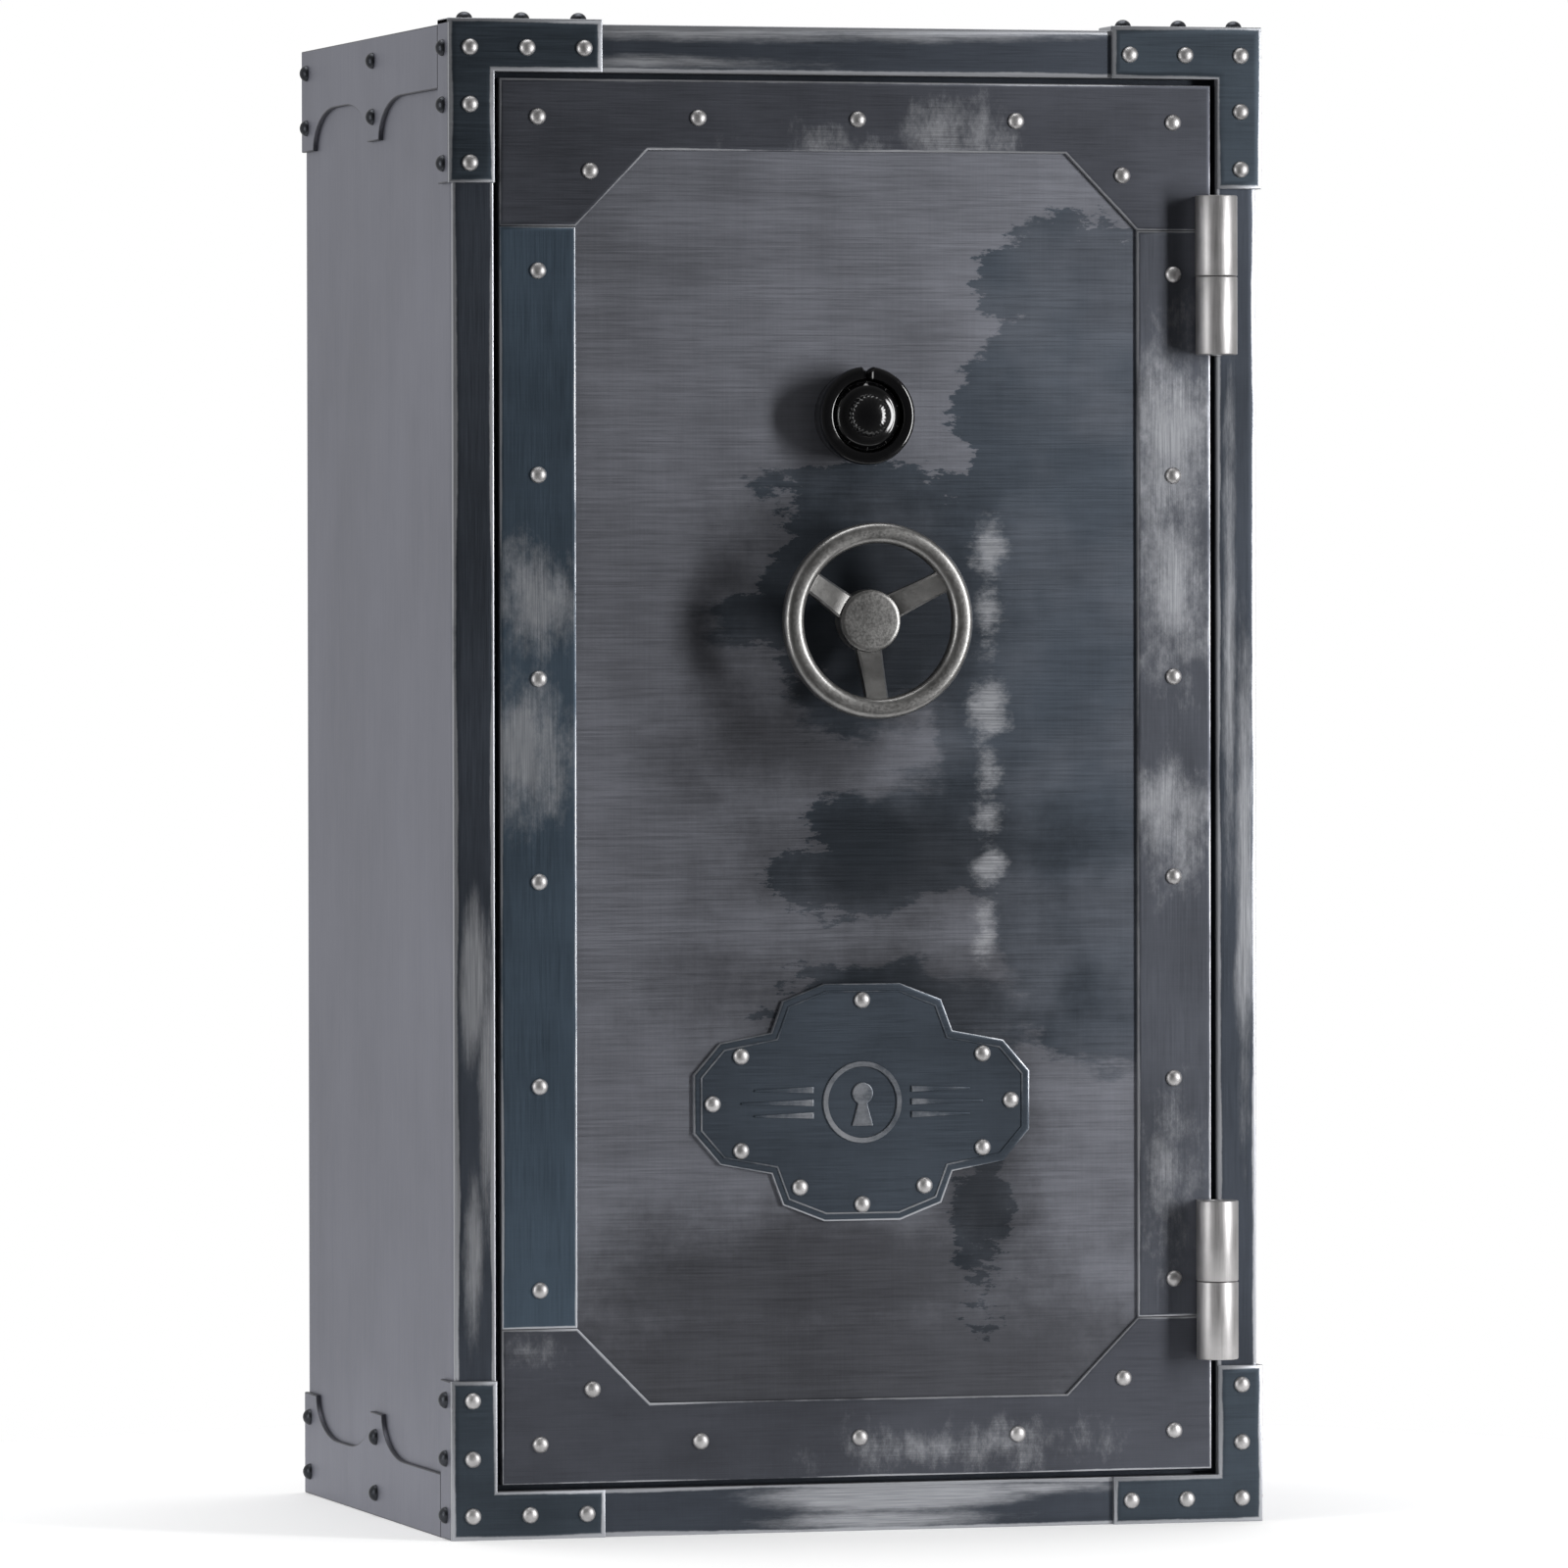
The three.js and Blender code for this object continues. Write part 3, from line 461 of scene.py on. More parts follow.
def cast_metal(name, base, roughness):
    """Satin cast metal with a slightly pebbled skin, darker in its hollows."""
    shader = Shader(name, base, roughness, 1.0)
    grain = shader.noise(420, 4, 0.6)
    blotch = shader.noise(45, 5, 0.6)
    shader.set("Base Color", shader.tinted(base, shader.step(blotch, 0.3, 0.7, 0.78, 1.15)))
    shader.set("Roughness", shader.step(grain, 0.3, 0.7, roughness - 0.05, roughness + 0.08))
    shader.bump(grain, 0.18, 0.3 * MM)
    return shader.material


def gloss_plastic(name, base, roughness):
    """Moulded gloss plastic with a faint orange-peel skin and a few soft smudges."""
    shader = Shader(name, base, roughness)
    shader.set("Specular IOR Level", 0.5)
    smudge = shader.noise(60, 4, 0.6)
    shader.set("Roughness", shader.step(smudge, 0.45, 0.8, roughness, roughness + 0.12))
    shader.bump(shader.noise(260, 2, 0.5), 0.04, 0.2 * MM)
    return shader.material


def pile_carpet(name, base):
    """Short-pile carpet: tufts in the bump, with lighter and darker fibres."""
    shader = Shader(name, base, 0.95)
    shader.set("Sheen Weight", 0.35)
    tufts = shader.noise(900, 3, 0.7)
    drift = shader.noise(14, 4, 0.6)
    tone = shader.step(shader.total(tufts, shader.product(drift, 0.5)), 0.5, 1.1, 0.6, 1.5)
    shader.set("Base Color", shader.tinted(base, tone))
    shader.bump(tufts, 0.9, 1.2 * MM)
    return shader.material


def dull(name, base, roughness, grain=220):
    """A dull surface with a fine grain, such as board, rubber or printed ink."""
    shader = Shader(name, base, roughness)
    speck = shader.noise(grain, 4, 0.6)
    shader.set("Base Color", shader.tinted(base, shader.step(speck, 0.3, 0.7, 0.85, 1.12)))
    shader.bump(speck, 0.15, 0.3 * MM)
    return shader.material


# Places of patches, painted shade and darkening, smears and painted highlights: middle X and Z, then half
# sizes, in metres
# Slate patches; those round the handwheel also stand in for its shadow, as painted shade
PANEL_PATCHES_AND_WHEEL_SHADE = [
    (0.185, 1.27, 0.065, 0.065), (0.2, 1.15, 0.085, 0.13), (0.26, 1.24, 0.11, 0.1),
    (0.31, 1.15, 0.11, 0.16), (0.24, 1.02, 0.13, 0.17), (0.26, 0.82, 0.17, 0.26),
    (0.28, 0.62, 0.15, 0.16), (0.02, 1.04, 0.15, 0.045), (0.0, 0.95, 0.12, 0.09),
    (0.11, 0.95, 0.1, 0.12), (0.1, 0.7, 0.15, 0.07), (0.02, 0.665, 0.11, 0.05),
    (0.07, 0.535, 0.15, 0.05), (0.135, 0.36, 0.028, 0.11), (-0.01, 0.85, 0.07, 0.05),
    (-0.11, 0.93, 0.05, 0.03),
]
# Painted shade: the blobs round the handwheel paint its shadow on the panel; the others darken the panel
# lower down
PANEL_SHADE_AND_DARKENING = [
    (0.0, 1.04, 0.16, 0.05), (-0.01, 0.93, 0.17, 0.14), (0.05, 0.69, 0.2, 0.09),
    (0.04, 0.54, 0.24, 0.07), (-0.02, 0.15, 0.46, 0.13), (-0.05, 0.25, 0.34, 0.1),
    (0.13, 0.36, 0.08, 0.16), (-0.07, 0.8, 0.14, 0.08),
]
PANEL_SMEARS = [
    (0.139, 1.0, 0.02, 0.035), (0.139, 0.93, 0.012, 0.04), (0.14, 0.84, 0.024, 0.035),
    (0.14, 0.775, 0.014, 0.03), (0.137, 0.725, 0.018, 0.018), (0.138, 0.675, 0.019, 0.02),
    (0.136, 0.61, 0.014, 0.035),
]
LEFT_SMEARS = [(-0.335, 0.95, 0.05, 0.06), (-0.345, 0.8, 0.05, 0.08)]
RIGHT_SMEARS = [
    (0.335, 1.11, 0.05, 0.11), (0.335, 0.95, 0.045, 0.11), (0.33, 0.74, 0.04, 0.07),
    (0.33, 0.36, 0.03, 0.08),
]
TOP_SMEARS = [(0.09, 1.425, 0.06, 0.035), (0.0, 1.41, 0.08, 0.02)]
BOTTOM_SMEARS = [(0.1, 0.085, 0.09, 0.016), (-0.34, 0.19, 0.03, 0.014)]
# Painted highlights: bright bands on the stiles where the frame reflects the lights
STILE_PAINTED_HIGHLIGHTS = [
    (-0.405, 0.56, 0.016, 0.1), (-0.39, 0.45, 0.014, 0.16), (-0.405, 0.3, 0.012, 0.1),
    (0.412, 0.66, 0.01, 0.24), (0.396, 0.9, 0.006, 0.2),
]
# Painted highlights: bright bands along the top and bottom rails where they reflect the lights
RAIL_PAINTED_HIGHLIGHTS = [
    (-0.18, 1.524, 0.22, 0.011), (-0.2, 1.492, 0.2, 0.008), (0.1, 1.524, 0.2, 0.007),
    (0.03, 0.036, 0.16, 0.02), (0.02, 0.01, 0.14, 0.012), (0.2, 0.04, 0.1, 0.008),
]


def door_steels():
    """The finishes of the door's panel, its overlays and the badge."""
    return {
        "panel": distressed_steel(
            "panel_steel", PANEL_GREY, "x", PANEL_PATCHES_AND_WHEEL_SHADE, PANEL_SHADE_AND_DARKENING, PANEL_SMEARS, FINE_WISPS,
        ),
        "overlay_left": distressed_steel("overlay_blue_steel", OVERLAY_BLUE, "z", smears_and_highlights=LEFT_SMEARS),
        "overlay_right": distressed_steel("overlay_pale_steel", OVERLAY_PALE, "z", smears_and_highlights=RIGHT_SMEARS),
        "overlay_top": distressed_steel("overlay_top_steel", OVERLAY_GREY, smears_and_highlights=TOP_SMEARS),
        "overlay_bottom": distressed_steel("overlay_bottom_steel", OVERLAY_GREY, smears_and_highlights=BOTTOM_SMEARS),
        "badge": distressed_steel("badge_steel", (0.056, 0.069, 0.087)),
    }


def cabinet_steels():
    """The finishes of the frame, its brackets and straps, the outer plates and the steel inside."""
    smooth = {"roughness": 0.5, "cloudy": 0.1}
    return {
        # The frame's smears are painted highlights, and its wide bright edges are wear with a painted
        # highlight
        "frame": distressed_steel(
            "frame_steel", FRAME_BLUE, "z", smears_and_highlights=STILE_PAINTED_HIGHLIGHTS, wisps=LONG_WISPS_Z, edge_marks=1.3,
        ),
        "rail": distressed_steel(
            "rail_steel", FRAME_BLUE, "x", smears_and_highlights=RAIL_PAINTED_HIGHLIGHTS, wisps=LONG_WISPS_X, edge_marks=1.3,
        ),
        "bracket": distressed_steel("bracket_steel", BRACKET_BLUE, edge_marks=1.35),
        "side": distressed_steel("side_steel", SIDE_GREY, "z", edge_marks=0.0, **smooth),
        # The straps' edge marks are painted shadow: their edge colour is near-black
        "strap": distressed_steel("strap_steel", SIDE_GREY, "z", edge_marks=1.3, edge_and_smear_color=STRAP_PAINTED_SHADOW, **smooth),
        "shell": distressed_steel("shell_steel", (0.11, 0.112, 0.128), roughness=0.5, edge_marks=0.3, cloudy=0.15),
        "inner_steel": distressed_steel("inner_steel", (0.08, 0.082, 0.09), "z", roughness=0.4, edge_marks=0.0),
    }


def hardware_metals():
    """The finishes of the hinges, bolts, rivets, handwheel and lock."""
    return {
        "hinge": turned_steel("hinge_steel", (0.48, 0.47, 0.47), 0.45, "z"),
        "bolt": turned_steel("bolt_chrome", (0.6, 0.6, 0.61), 0.14, "y", 0.03),
        "plain_steel": turned_steel("plain_steel", (0.4, 0.4, 0.41), 0.35, "z"),
        "brass": turned_steel("brass", (0.52, 0.38, 0.16), 0.3, "z"),
        "rivet": cast_metal("rivet_steel", (0.5, 0.49, 0.49), 0.45),
        # Painted shade: a dark copy of the rivet finish, for the rivets on the sides and roof
        "shaded_rivet": cast_metal("shaded_rivet", (0.05, 0.053, 0.06), 0.4),
        "pewter": cast_metal("pewter", (0.27, 0.266, 0.26), 0.36),
        "zinc": cast_metal("zinc_plate", (0.42, 0.41, 0.37), 0.38),
    }


def soft_and_moulded():
    """The finishes that aren't metal."""
    return {
        "dial": gloss_plastic("dial_black", (0.003, 0.003, 0.0035), 0.09),
        "ink": dull("dial_ink", (0.3, 0.3, 0.3), 0.5, 600),
        "carpet": pile_carpet("grey_carpet", (0.15, 0.145, 0.14)),
        "board": dull("fire_board", (0.55, 0.52, 0.47), 0.9),
        "rubber": dull("seal_rubber", (0.015, 0.015, 0.016), 0.7),
    }


MATERIALS = {**door_steels(), **cabinet_steels(), **hardware_metals(), **soft_and_moulded()}


# -------------------- cabinet

def plate_piece(name, outline, facing, back, face, body, look, replaces, bevel, edge_band=EDGE_BAND):
    """One plate as a piece."""
    bm = bmesh.new()
    plate(bm, outline, facing, back, face, bevel, edge_band)
    finish(bm, name, 30, body, look, *replaces)


def boxed_plate(name, node, facing, look, bevel):
    """A plate of the cabinet that fills the box of its CAD node."""
    low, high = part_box(node)
    outline, back, face = {
        "back": (rectangle(low.x, high.x, low.z, high.z), low.y, high.y),
        "top": (rectangle(low.x, high.x, low.y, high.y), low.z, high.z),
        "left": (rectangle(low.y, high.y, low.z, high.z), -high.x, -low.x),
        "right": (rectangle(low.y, high.y, low.z, high.z), low.x, high.x),
    }[facing]
    plate_piece(name, outline, facing, back, face, "cabinet", look, (node,), bevel)


def frame_ring():
    """The front frame, bright along its outer and inner edges with wear and a painted highlight where its
    rounded corners catch light, with its rails brushed sideways.
    """
    bm = bmesh.new()
    edge_layer(bm)
    outer = rectangle(-HALF_WIDTH, HALF_WIDTH, 0, HEIGHT)
    opening_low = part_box("frame_rail_bottom")[1].z
    opening_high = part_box("frame_rail_top")[0].z
    inner = rectangle(-OPENING_X, OPENING_X, opening_low, opening_high)
    back = -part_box("frame_rail_top")[1].y
    steps = rounded_edge(back, -FRONT, 2 * MM, EDGE_BAND)
    rings = [(outer, inward, height, edge) for inward, height, edge in steps]
    rings += [(inner, -inward, height, edge) for inward, height, edge in steps[::-1]]
    loops = []
    for outline, inward, height, edge in rings:
        points = [Vector(point) for point in outline]
        loops.append(outline_loop(bm, points, FACINGS["front"], inward, height, edge))
    for low, high in zip(loops, loops[1:] + loops[:1]):
        for side, face in enumerate(bridge(bm, low, high)):
            is_rail = side % 2 == 0
            face.material_index = 1 if is_rail else 0
    nodes = ("frame_stile_left", "frame_stile_right", "frame_rail_top", "frame_rail_bottom")
    ring = finish(bm, "front_frame", 30, "cabinet", "frame", *nodes)
    ring.data.materials.append(MATERIALS["rail"])


def shell():
    """The outer plates behind the frame."""
    for side in SIDES:
        boxed_plate(f"{side}_wall", f"side_{side}", side, "side", 2.5 * MM)
    boxed_plate("roof", "top_plate", "top", "shell", 0.6 * MM)
    boxed_plate("rear_wall", "back_plate", "back", "shell", 0.6 * MM)


# Corner brackets and side straps are plates that stand proud of the body. Their columns count from the
# middle of the front, and a drop counts down from the top or up from the base.
PROUD = 4.8 * MM
STOCK = 4.5 * MM
PLATED_X = HALF_WIDTH + PROUD
PLATED_Y = FRONT - PROUD
PLATED_Z = HEIGHT + PROUD
BRACKET_BEVEL = 1.3 * MM
BRACKET_REACH = 269.5 * MM
BRACKET_LEG = 161 * MM
BRACKET_COLUMNS = (407.5 * MM, 348 * MM, 288.5 * MM)
BRACKET_ROWS = (24.5 * MM, 82 * MM, 141 * MM)
RETURN_Y = FRONT + 20 * MM
FLAP_SETBACK = 0.6 * MM
STRAP_BAND = 65 * MM
STRAP_TIP = 107 * MM
FOOT_HALF = 25 * MM
FOOT_FLANK = 95 * MM
FOOT_MIDDLES = (0, 292 * MM)
STRAP_COLUMNS = (0, 296 * MM)
STRAP_ROWS = (24 * MM, 82 * MM)


def from_level(level, drop):
    """The height at a drop below the top, or the same distance above the base."""
    return HEIGHT - drop if level == "top" else drop


def cap(level):
    """How far a bracket reaches past the body's end: over the roof, but not under the base."""
    return PROUD if level == "top" else 0


def side_plate(name, outline, side, nodes, bevel, edge_band):
    """A plate that stands proud of a side, in the side's grey, with a painted shadow along its edges."""
    plate_piece(name, outline, side, PLATED_X - STOCK, PLATED_X, "cabinet", "strap", nodes, bevel, edge_band)


def shaded_rivets(name, places, facing):
    """Rivets as dark as the sides, and a little taller: a dark copy of the rivet finish, as painted shade.
    """
    rivets(name, places, facing, "cabinet", "shaded_rivet", SIDE_RIVET_HEIGHT)


def bracket_plates(level, side):
    """A bracket's front plate, and over the top corners its flap on the roof."""
    node = f"corner_bracket_{level}_{side}"
    turn = SIGN[side]
    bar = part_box("frame_rail_bottom")[1].z
    points = [
        (PLATED_X, -cap(level)), (PLATED_X, BRACKET_LEG), (OPENING_X, BRACKET_LEG), (OPENING_X, bar),
        (BRACKET_REACH, bar), (BRACKET_REACH, -cap(level)),
    ]
    outline = [(turn * u, from_level(level, drop)) for u, drop in points]
    bm = bmesh.new()
    plate(bm, outline, "front", -PLATED_Y - STOCK, -PLATED_Y, BRACKET_BEVEL, EDGE_BAND)
    if level == "top":
        across = sorted((turn * BRACKET_REACH, turn * PLATED_X))
        flap = rectangle(*across, PLATED_Y + FLAP_SETBACK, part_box(node)[1].y)
        plate(bm, flap, "top", PLATED_Z - STOCK, PLATED_Z, BRACKET_BEVEL, 5 * MM)
    finish(bm, f"bracket_{level}_{side}", 30, "cabinet", "bracket", node)


def bracket_wing(level, side):
    """The part of a bracket that is turned back over the side."""
    heights = sorted((from_level(level, -cap(level)), from_level(level, BRACKET_LEG)))
    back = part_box(f"corner_bracket_{level}_{side}")[1].y
    outline = rectangle(PLATED_Y + STOCK, back, *heights)
    side_plate(f"bracket_wing_{level}_{side}", outline, side, (), BRACKET_BEVEL, 1.7 * MM)


def bracket_rivets(level, side):
    """Bright rivets on a bracket's front, and dark ones on its side and roof."""
    turn = SIGN[side]
    heights = [from_level(level, row) for row in BRACKET_ROWS]
    fronts = [(turn * column, PLATED_Y, heights[0]) for column in BRACKET_COLUMNS]
    fronts += [(turn * BRACKET_COLUMNS[0], PLATED_Y, height) for height in heights[1:]]
    rivets(f"bracket_rivets_{level}_{side}", fronts, OUTWARD, "cabinet")
    returns = [(turn * PLATED_X, RETURN_Y, height) for height in heights]
    shaded_rivets(f"bracket_side_rivets_{level}_{side}", returns, (turn, 0, 0))
    if level == "top":
        tops = [(turn * column, RETURN_Y, PLATED_Z) for column in BRACKET_COLUMNS]
        shaded_rivets(f"bracket_roof_rivets_{side}", tops, UP)


def strap_outline(level):
    """A side strap seen from its side: a band with two feet whose flanks are quarter ellipses."""
    start, end = (corner.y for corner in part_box("side_strap_top_left"))
    depth, steps = STRAP_TIP - STRAP_BAND, 10
    curve = []
    for step in range(steps + 1):
        turn = math.pi / 2 * step / steps
        curve.append((FOOT_FLANK * (1 - math.sin(turn)), STRAP_BAND + depth * (1 - math.cos(turn))))
    points = [(start, 0), (start, STRAP_BAND)]
    for middle in FOOT_MIDDLES:
        near, far = middle - FOOT_HALF, middle + FOOT_HALF
        points += [(near - away, drop) for away, drop in curve]
        if far + FOOT_FLANK < end:
            points += [(far + away, drop) for away, drop in curve[::-1]]
        else:
            points.append((end, STRAP_TIP))
    points.append((end, 0))
    return [(y, from_level(level, drop)) for y, drop in points]


def side_strap(level, side):
    """A strap along the top or the foot of a side, with its rivets."""
    nodes = (f"side_strap_{level}_{side}",)
    side_plate(f"strap_{level}_{side}", strap_outline(level), side, nodes, 1.2 * MM, 1.6 * MM)
    face_x = SIGN[side] * PLATED_X
    heights = [from_level(level, row) for row in STRAP_ROWS]
    places = [(face_x, y, height) for y in STRAP_COLUMNS for height in heights]
    shaded_rivets(f"strap_rivets_{level}_{side}", places, (SIGN[side], 0, 0))


frame_ring()
shell()
for level in LEVELS:
    for side in SIDES:
        bracket_plates(level, side)
        bracket_wing(level, side)
        bracket_rivets(level, side)
        side_strap(level, side)


# -------------------- door face

# The plates round the door's eight-sided panel
OVERLAY_BEVEL = 1.2 * MM
OVERLAY_WEAR = 4.5 * MM
OVERLAY_GAP = 0.3 * MM
PANEL_HALF_X = -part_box("overlay_left")[1].x
PANEL_CHAMFER = 76 * MM
SIDE_LOW, SIDE_HIGH = (corner.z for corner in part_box("overlay_left"))
SIDE_COLUMN = 336 * MM
SIDE_ROWS = (251 * MM, 457 * MM, 664 * MM, 869 * MM, 1075 * MM, 1281 * MM)
END_PITCH = 168 * MM
CORNER_COLUMN = 281.5 * MM
# Heights on the end plates: the door's edge, the shoulder beside the side plates, the panel's edge,
# the row of rivets, and the rivets by the panel's corners
ENDS = {
    "top": (DOOR_HIGH.z, SIDE_HIGH + OVERLAY_GAP, 1403.5 * MM, 1436.5 * MM, 1382 * MM),
    "bottom": (DOOR_LOW.z, SIDE_LOW - OVERLAY_GAP, 135 * MM, 95 * MM, 150 * MM),
}


def door_rivets(name, places):
    """Rivets on the door's front face, at X and Z places."""
    rivets(name, [(x, FRONT, z) for x, z in places], OUTWARD, "door")


def door_plate(name, outline, look, node, edge_band=OVERLAY_WEAR):
    """A plate that lies on the door's panel."""
    plate_piece(name, outline, "front", -PANEL_FACE, -FRONT, "door", look, (node,), OVERLAY_BEVEL, edge_band)


def side_overlay(side):
    """The tall plate beside the panel, with its column of rivets."""
    turn = SIGN[side]
    across = sorted((turn * PANEL_HALF_X, turn * DOOR_HIGH.x))
    outline = rectangle(*across, SIDE_LOW, SIDE_HIGH)
    door_plate(f"overlay_plate_{side}", outline, f"overlay_{side}", f"overlay_{side}")
    door_rivets(f"overlay_rivets_{side}", [(turn * SIDE_COLUMN, z) for z in SIDE_ROWS])


def end_overlay(level):
    """The plate above or below the panel, which cuts off the panel's corners, with its rivets."""
    edge, shoulder, panel, row, corner = ENDS[level]
    half = [
        (DOOR_HIGH.x, edge), (DOOR_HIGH.x, shoulder),
        (PANEL_HALF_X, shoulder), (PANEL_HALF_X - PANEL_CHAMFER, panel),
    ]
    outline = half + [(-x, z) for x, z in half[::-1]]
    door_plate(f"overlay_plate_{level}", outline, f"overlay_{level}", f"overlay_{level}")
    places = [(column * END_PITCH, row) for column in range(-2, 3)]
    places += [(-CORNER_COLUMN, corner), (CORNER_COLUMN, corner)]
    door_rivets(f"overlay_rivets_{level}", places)


# The badge's place, and its raised relief: how deep it is set, how high it stands and how worn it is
BADGE_X = 3 * MM
BADGE_Z = 437 * MM
BADGE_WEAR = 3.5 * MM
RELIEF_FOOT = 0.5 * MM
BORDER_HEIGHT = 1.1 * MM
EMBLEM_HEIGHT = 1.8 * MM
RELIEF_WEAR = 0.9


def badge_outline():
    """The badge's outline: a wide lozenge with stepped shoulders, from one quarter in millimetres."""
    quarter = [(178, 0), (178, 30), (150, 62), (96, 72), (84, 104), (40, 121), (0, 121)]
    right = [(x, -z) for x, z in quarter[:0:-1]] + quarter
    left = [(-x, z) for x, z in right[-2:0:-1]]
    return counter_clockwise([(BADGE_X + x * MM, BADGE_Z + z * MM) for x, z in right + left])


def badge_border():
    """A raised line just inside the badge's edge."""
    bm = bmesh.new()
    edge_layer(bm)
    base, crest = -FRONT - RELIEF_FOOT, -FRONT + BORDER_HEIGHT
    section = [(7 * MM, base), (7.6 * MM, crest), (8.8 * MM, crest), (9.4 * MM, base)]
    loops = []
    for inward, height in section:
        loops.append(outline_loop(bm, badge_outline(), FACINGS["front"], inward, height, RELIEF_WEAR))
    for low, high in zip(loops, loops[1:] + loops[:1]):
        bridge(bm, low, high)
    finish(bm, "badge_border", 0, "door", "badge")


def emblem_plate(bm, outline, edge_band):
    """A raised flat shape, from an outline in millimetres round the badge's centre."""
    placed = [(BADGE_X + u * MM, BADGE_Z + v * MM) for u, v in outline]
    plate(bm, placed, "front", -FRONT - RELIEF_FOOT, -FRONT + EMBLEM_HEIGHT, 0.5 * MM, edge_band)


def emblem_bars(bm):
    """Three bars on each side of the ring, which taper away from it."""
    start, pitch, near_half, far_half = 52, 13, 3.2, 0.9
    lengths = {-1: 62, 0: 76, 1: 62}
    for side in SIGN["left"], SIGN["right"]:
        for step, length in lengths.items():
            near, far = side * start, side * (start + length)
            bar = [(near, -near_half), (far, -far_half), (far, far_half), (near, near_half)]
            emblem_plate(bm, [(u, step * pitch + v) for u, v in bar], 0.8 * MM)


def emblem_ring(bm):
    """The ring round the keyhole."""
    outer, inner, slope = 42 * MM, 36 * MM, 0.6 * MM
    section = [
        (outer, -RELIEF_FOOT), (outer - slope, EMBLEM_HEIGHT),
        (inner + slope, EMBLEM_HEIGHT), (inner, -RELIEF_FOOT),
    ]
    stand(bm, closed_ring(bm, section, 48), (BADGE_X, FRONT, BADGE_Z), OUTWARD)


def emblem_keyhole(bm):
    """The keyhole: a round head over a flared foot."""
    radius, rise = 11, 9
    turns = [math.radians(degrees) for degrees in range(-60, 241, 20)]
    head = [(radius * math.cos(turn), rise + radius * math.sin(turn)) for turn in turns]
    foot = [(-5, -2), (-11, -24), (11, -24), (5, -2)]
    emblem_plate(bm, head + foot, 1.2 * MM)


def badge_emblem():
    """A plain raised emblem: a keyhole in a ring, with bars on each side."""
    bm = bmesh.new()
    edge_layer(bm)
    emblem_bars(bm)
    emblem_ring(bm)
    emblem_keyhole(bm)
    layer = edge_layer(bm)
    for vert in bm.verts:
        vert[layer] = RELIEF_WEAR
    finish(bm, "badge_emblem", 30, "door", "badge")


def badge():
    """The riveted badge plate, with a raised border and a plain emblem."""
    door_plate("badge", badge_outline(), "badge", "badge_plate", BADGE_WEAR)
    places = [(158, 0), (-158, 0), (0, 104), (0, -104)]
    places += [(side * x, z) for side in (-1, 1) for x, z in ((128, 48), (128, -48), (66, -86))]
    door_rivets("badge_rivets", [(BADGE_X + x * MM, BADGE_Z + z * MM) for x, z in places])
    badge_border()
    badge_emblem()


# The barrel hinges outside the door; each leaf starts inside its barrel
HINGE_AXIS = Vector((375.5 * MM, FRONT - 22 * MM, 0))
KNUCKLE_RADIUS = 21.5 * MM
KNUCKLE_BORE = 8.3 * MM
KNUCKLE_ROUND = 1.5 * MM
KNUCKLE_GAP = 0.3 * MM
LEAF_START = 9 * MM
LEAF_REACH = 16 * MM
LEAF_GAP = 0.3 * MM
LEAF_FACE = 12 * MM
PIN_RADIUS = 8 * MM
PIN_TIP = 2 * MM


def knuckle_section(low, high):
    """A barrel's closed section, from the bore out and back, with rounded outer corners."""
    nick = KNUCKLE_ROUND * ROUNDING
    lower = [
        (KNUCKLE_BORE, low),
        (KNUCKLE_RADIUS - KNUCKLE_ROUND, low),
        (KNUCKLE_RADIUS - nick, low + nick),
        (KNUCKLE_RADIUS, low + KNUCKLE_ROUND),
    ]
    upper = [(radius, low + high - height) for radius, height in lower[::-1]]
    return lower + upper


def knuckle(node, low, high, leaf_side, body):
    """A barrel round the hinge's pin, and the flat leaf on one side that joins it to its body."""
    bm = bmesh.new()
    barrel = closed_ring(bm, knuckle_section(low, high), 64)
    bmesh.ops.translate(bm, vec=HINGE_AXIS, verts=barrel)
    across = sorted(HINGE_AXIS.x + leaf_side * reach for reach in (LEAF_START, LEAF_REACH))
    leaf = rectangle(*across, low, high)
    plate(bm, leaf, "front", -FRONT + LEAF_GAP, -FRONT + LEAF_FACE, 1 * MM, 2 * MM)
    finish(bm, f"{node}_turned", 30, body, "hinge", node)


def hinge_pin(level):
    """The pin through both knuckles, with tapered tips."""
    node = f"hinge_{level}_pin"
    low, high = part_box(node)
    length = high.z - low.z
    profile = [
        (0, 0), (PIN_RADIUS - PIN_TIP, 0), (PIN_RADIUS, PIN_TIP),
        (PIN_RADIUS, length - PIN_TIP), (PIN_RADIUS - PIN_TIP, length), (0, length),
    ]
    at = ((low.x + high.x) / 2, (low.y + high.y) / 2, low.z)
    turned_piece(f"{node}_turned", profile, at, UP, "cabinet", "plain_steel", node)


def hinge(level):
    """A hinge: a knuckle on the frame, the door's knuckle above it, and their pin."""
    frame_node, door_node = f"hinge_{level}_frame_knuckle", f"hinge_{level}_door_knuckle"
    low, seam = (corner.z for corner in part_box(frame_node))
    knuckle(frame_node, low, seam, SIGN["right"], "cabinet")
    knuckle(door_node, seam + KNUCKLE_GAP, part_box(door_node)[1].z, SIGN["left"], "door")
    hinge_pin(level)


for side in SIDES:
    side_overlay(side)
for level in LEVELS:
    end_overlay(level)
badge()
for level in ("upper", "lower"):
    hinge(level)


# -------------------- handwheel and dial

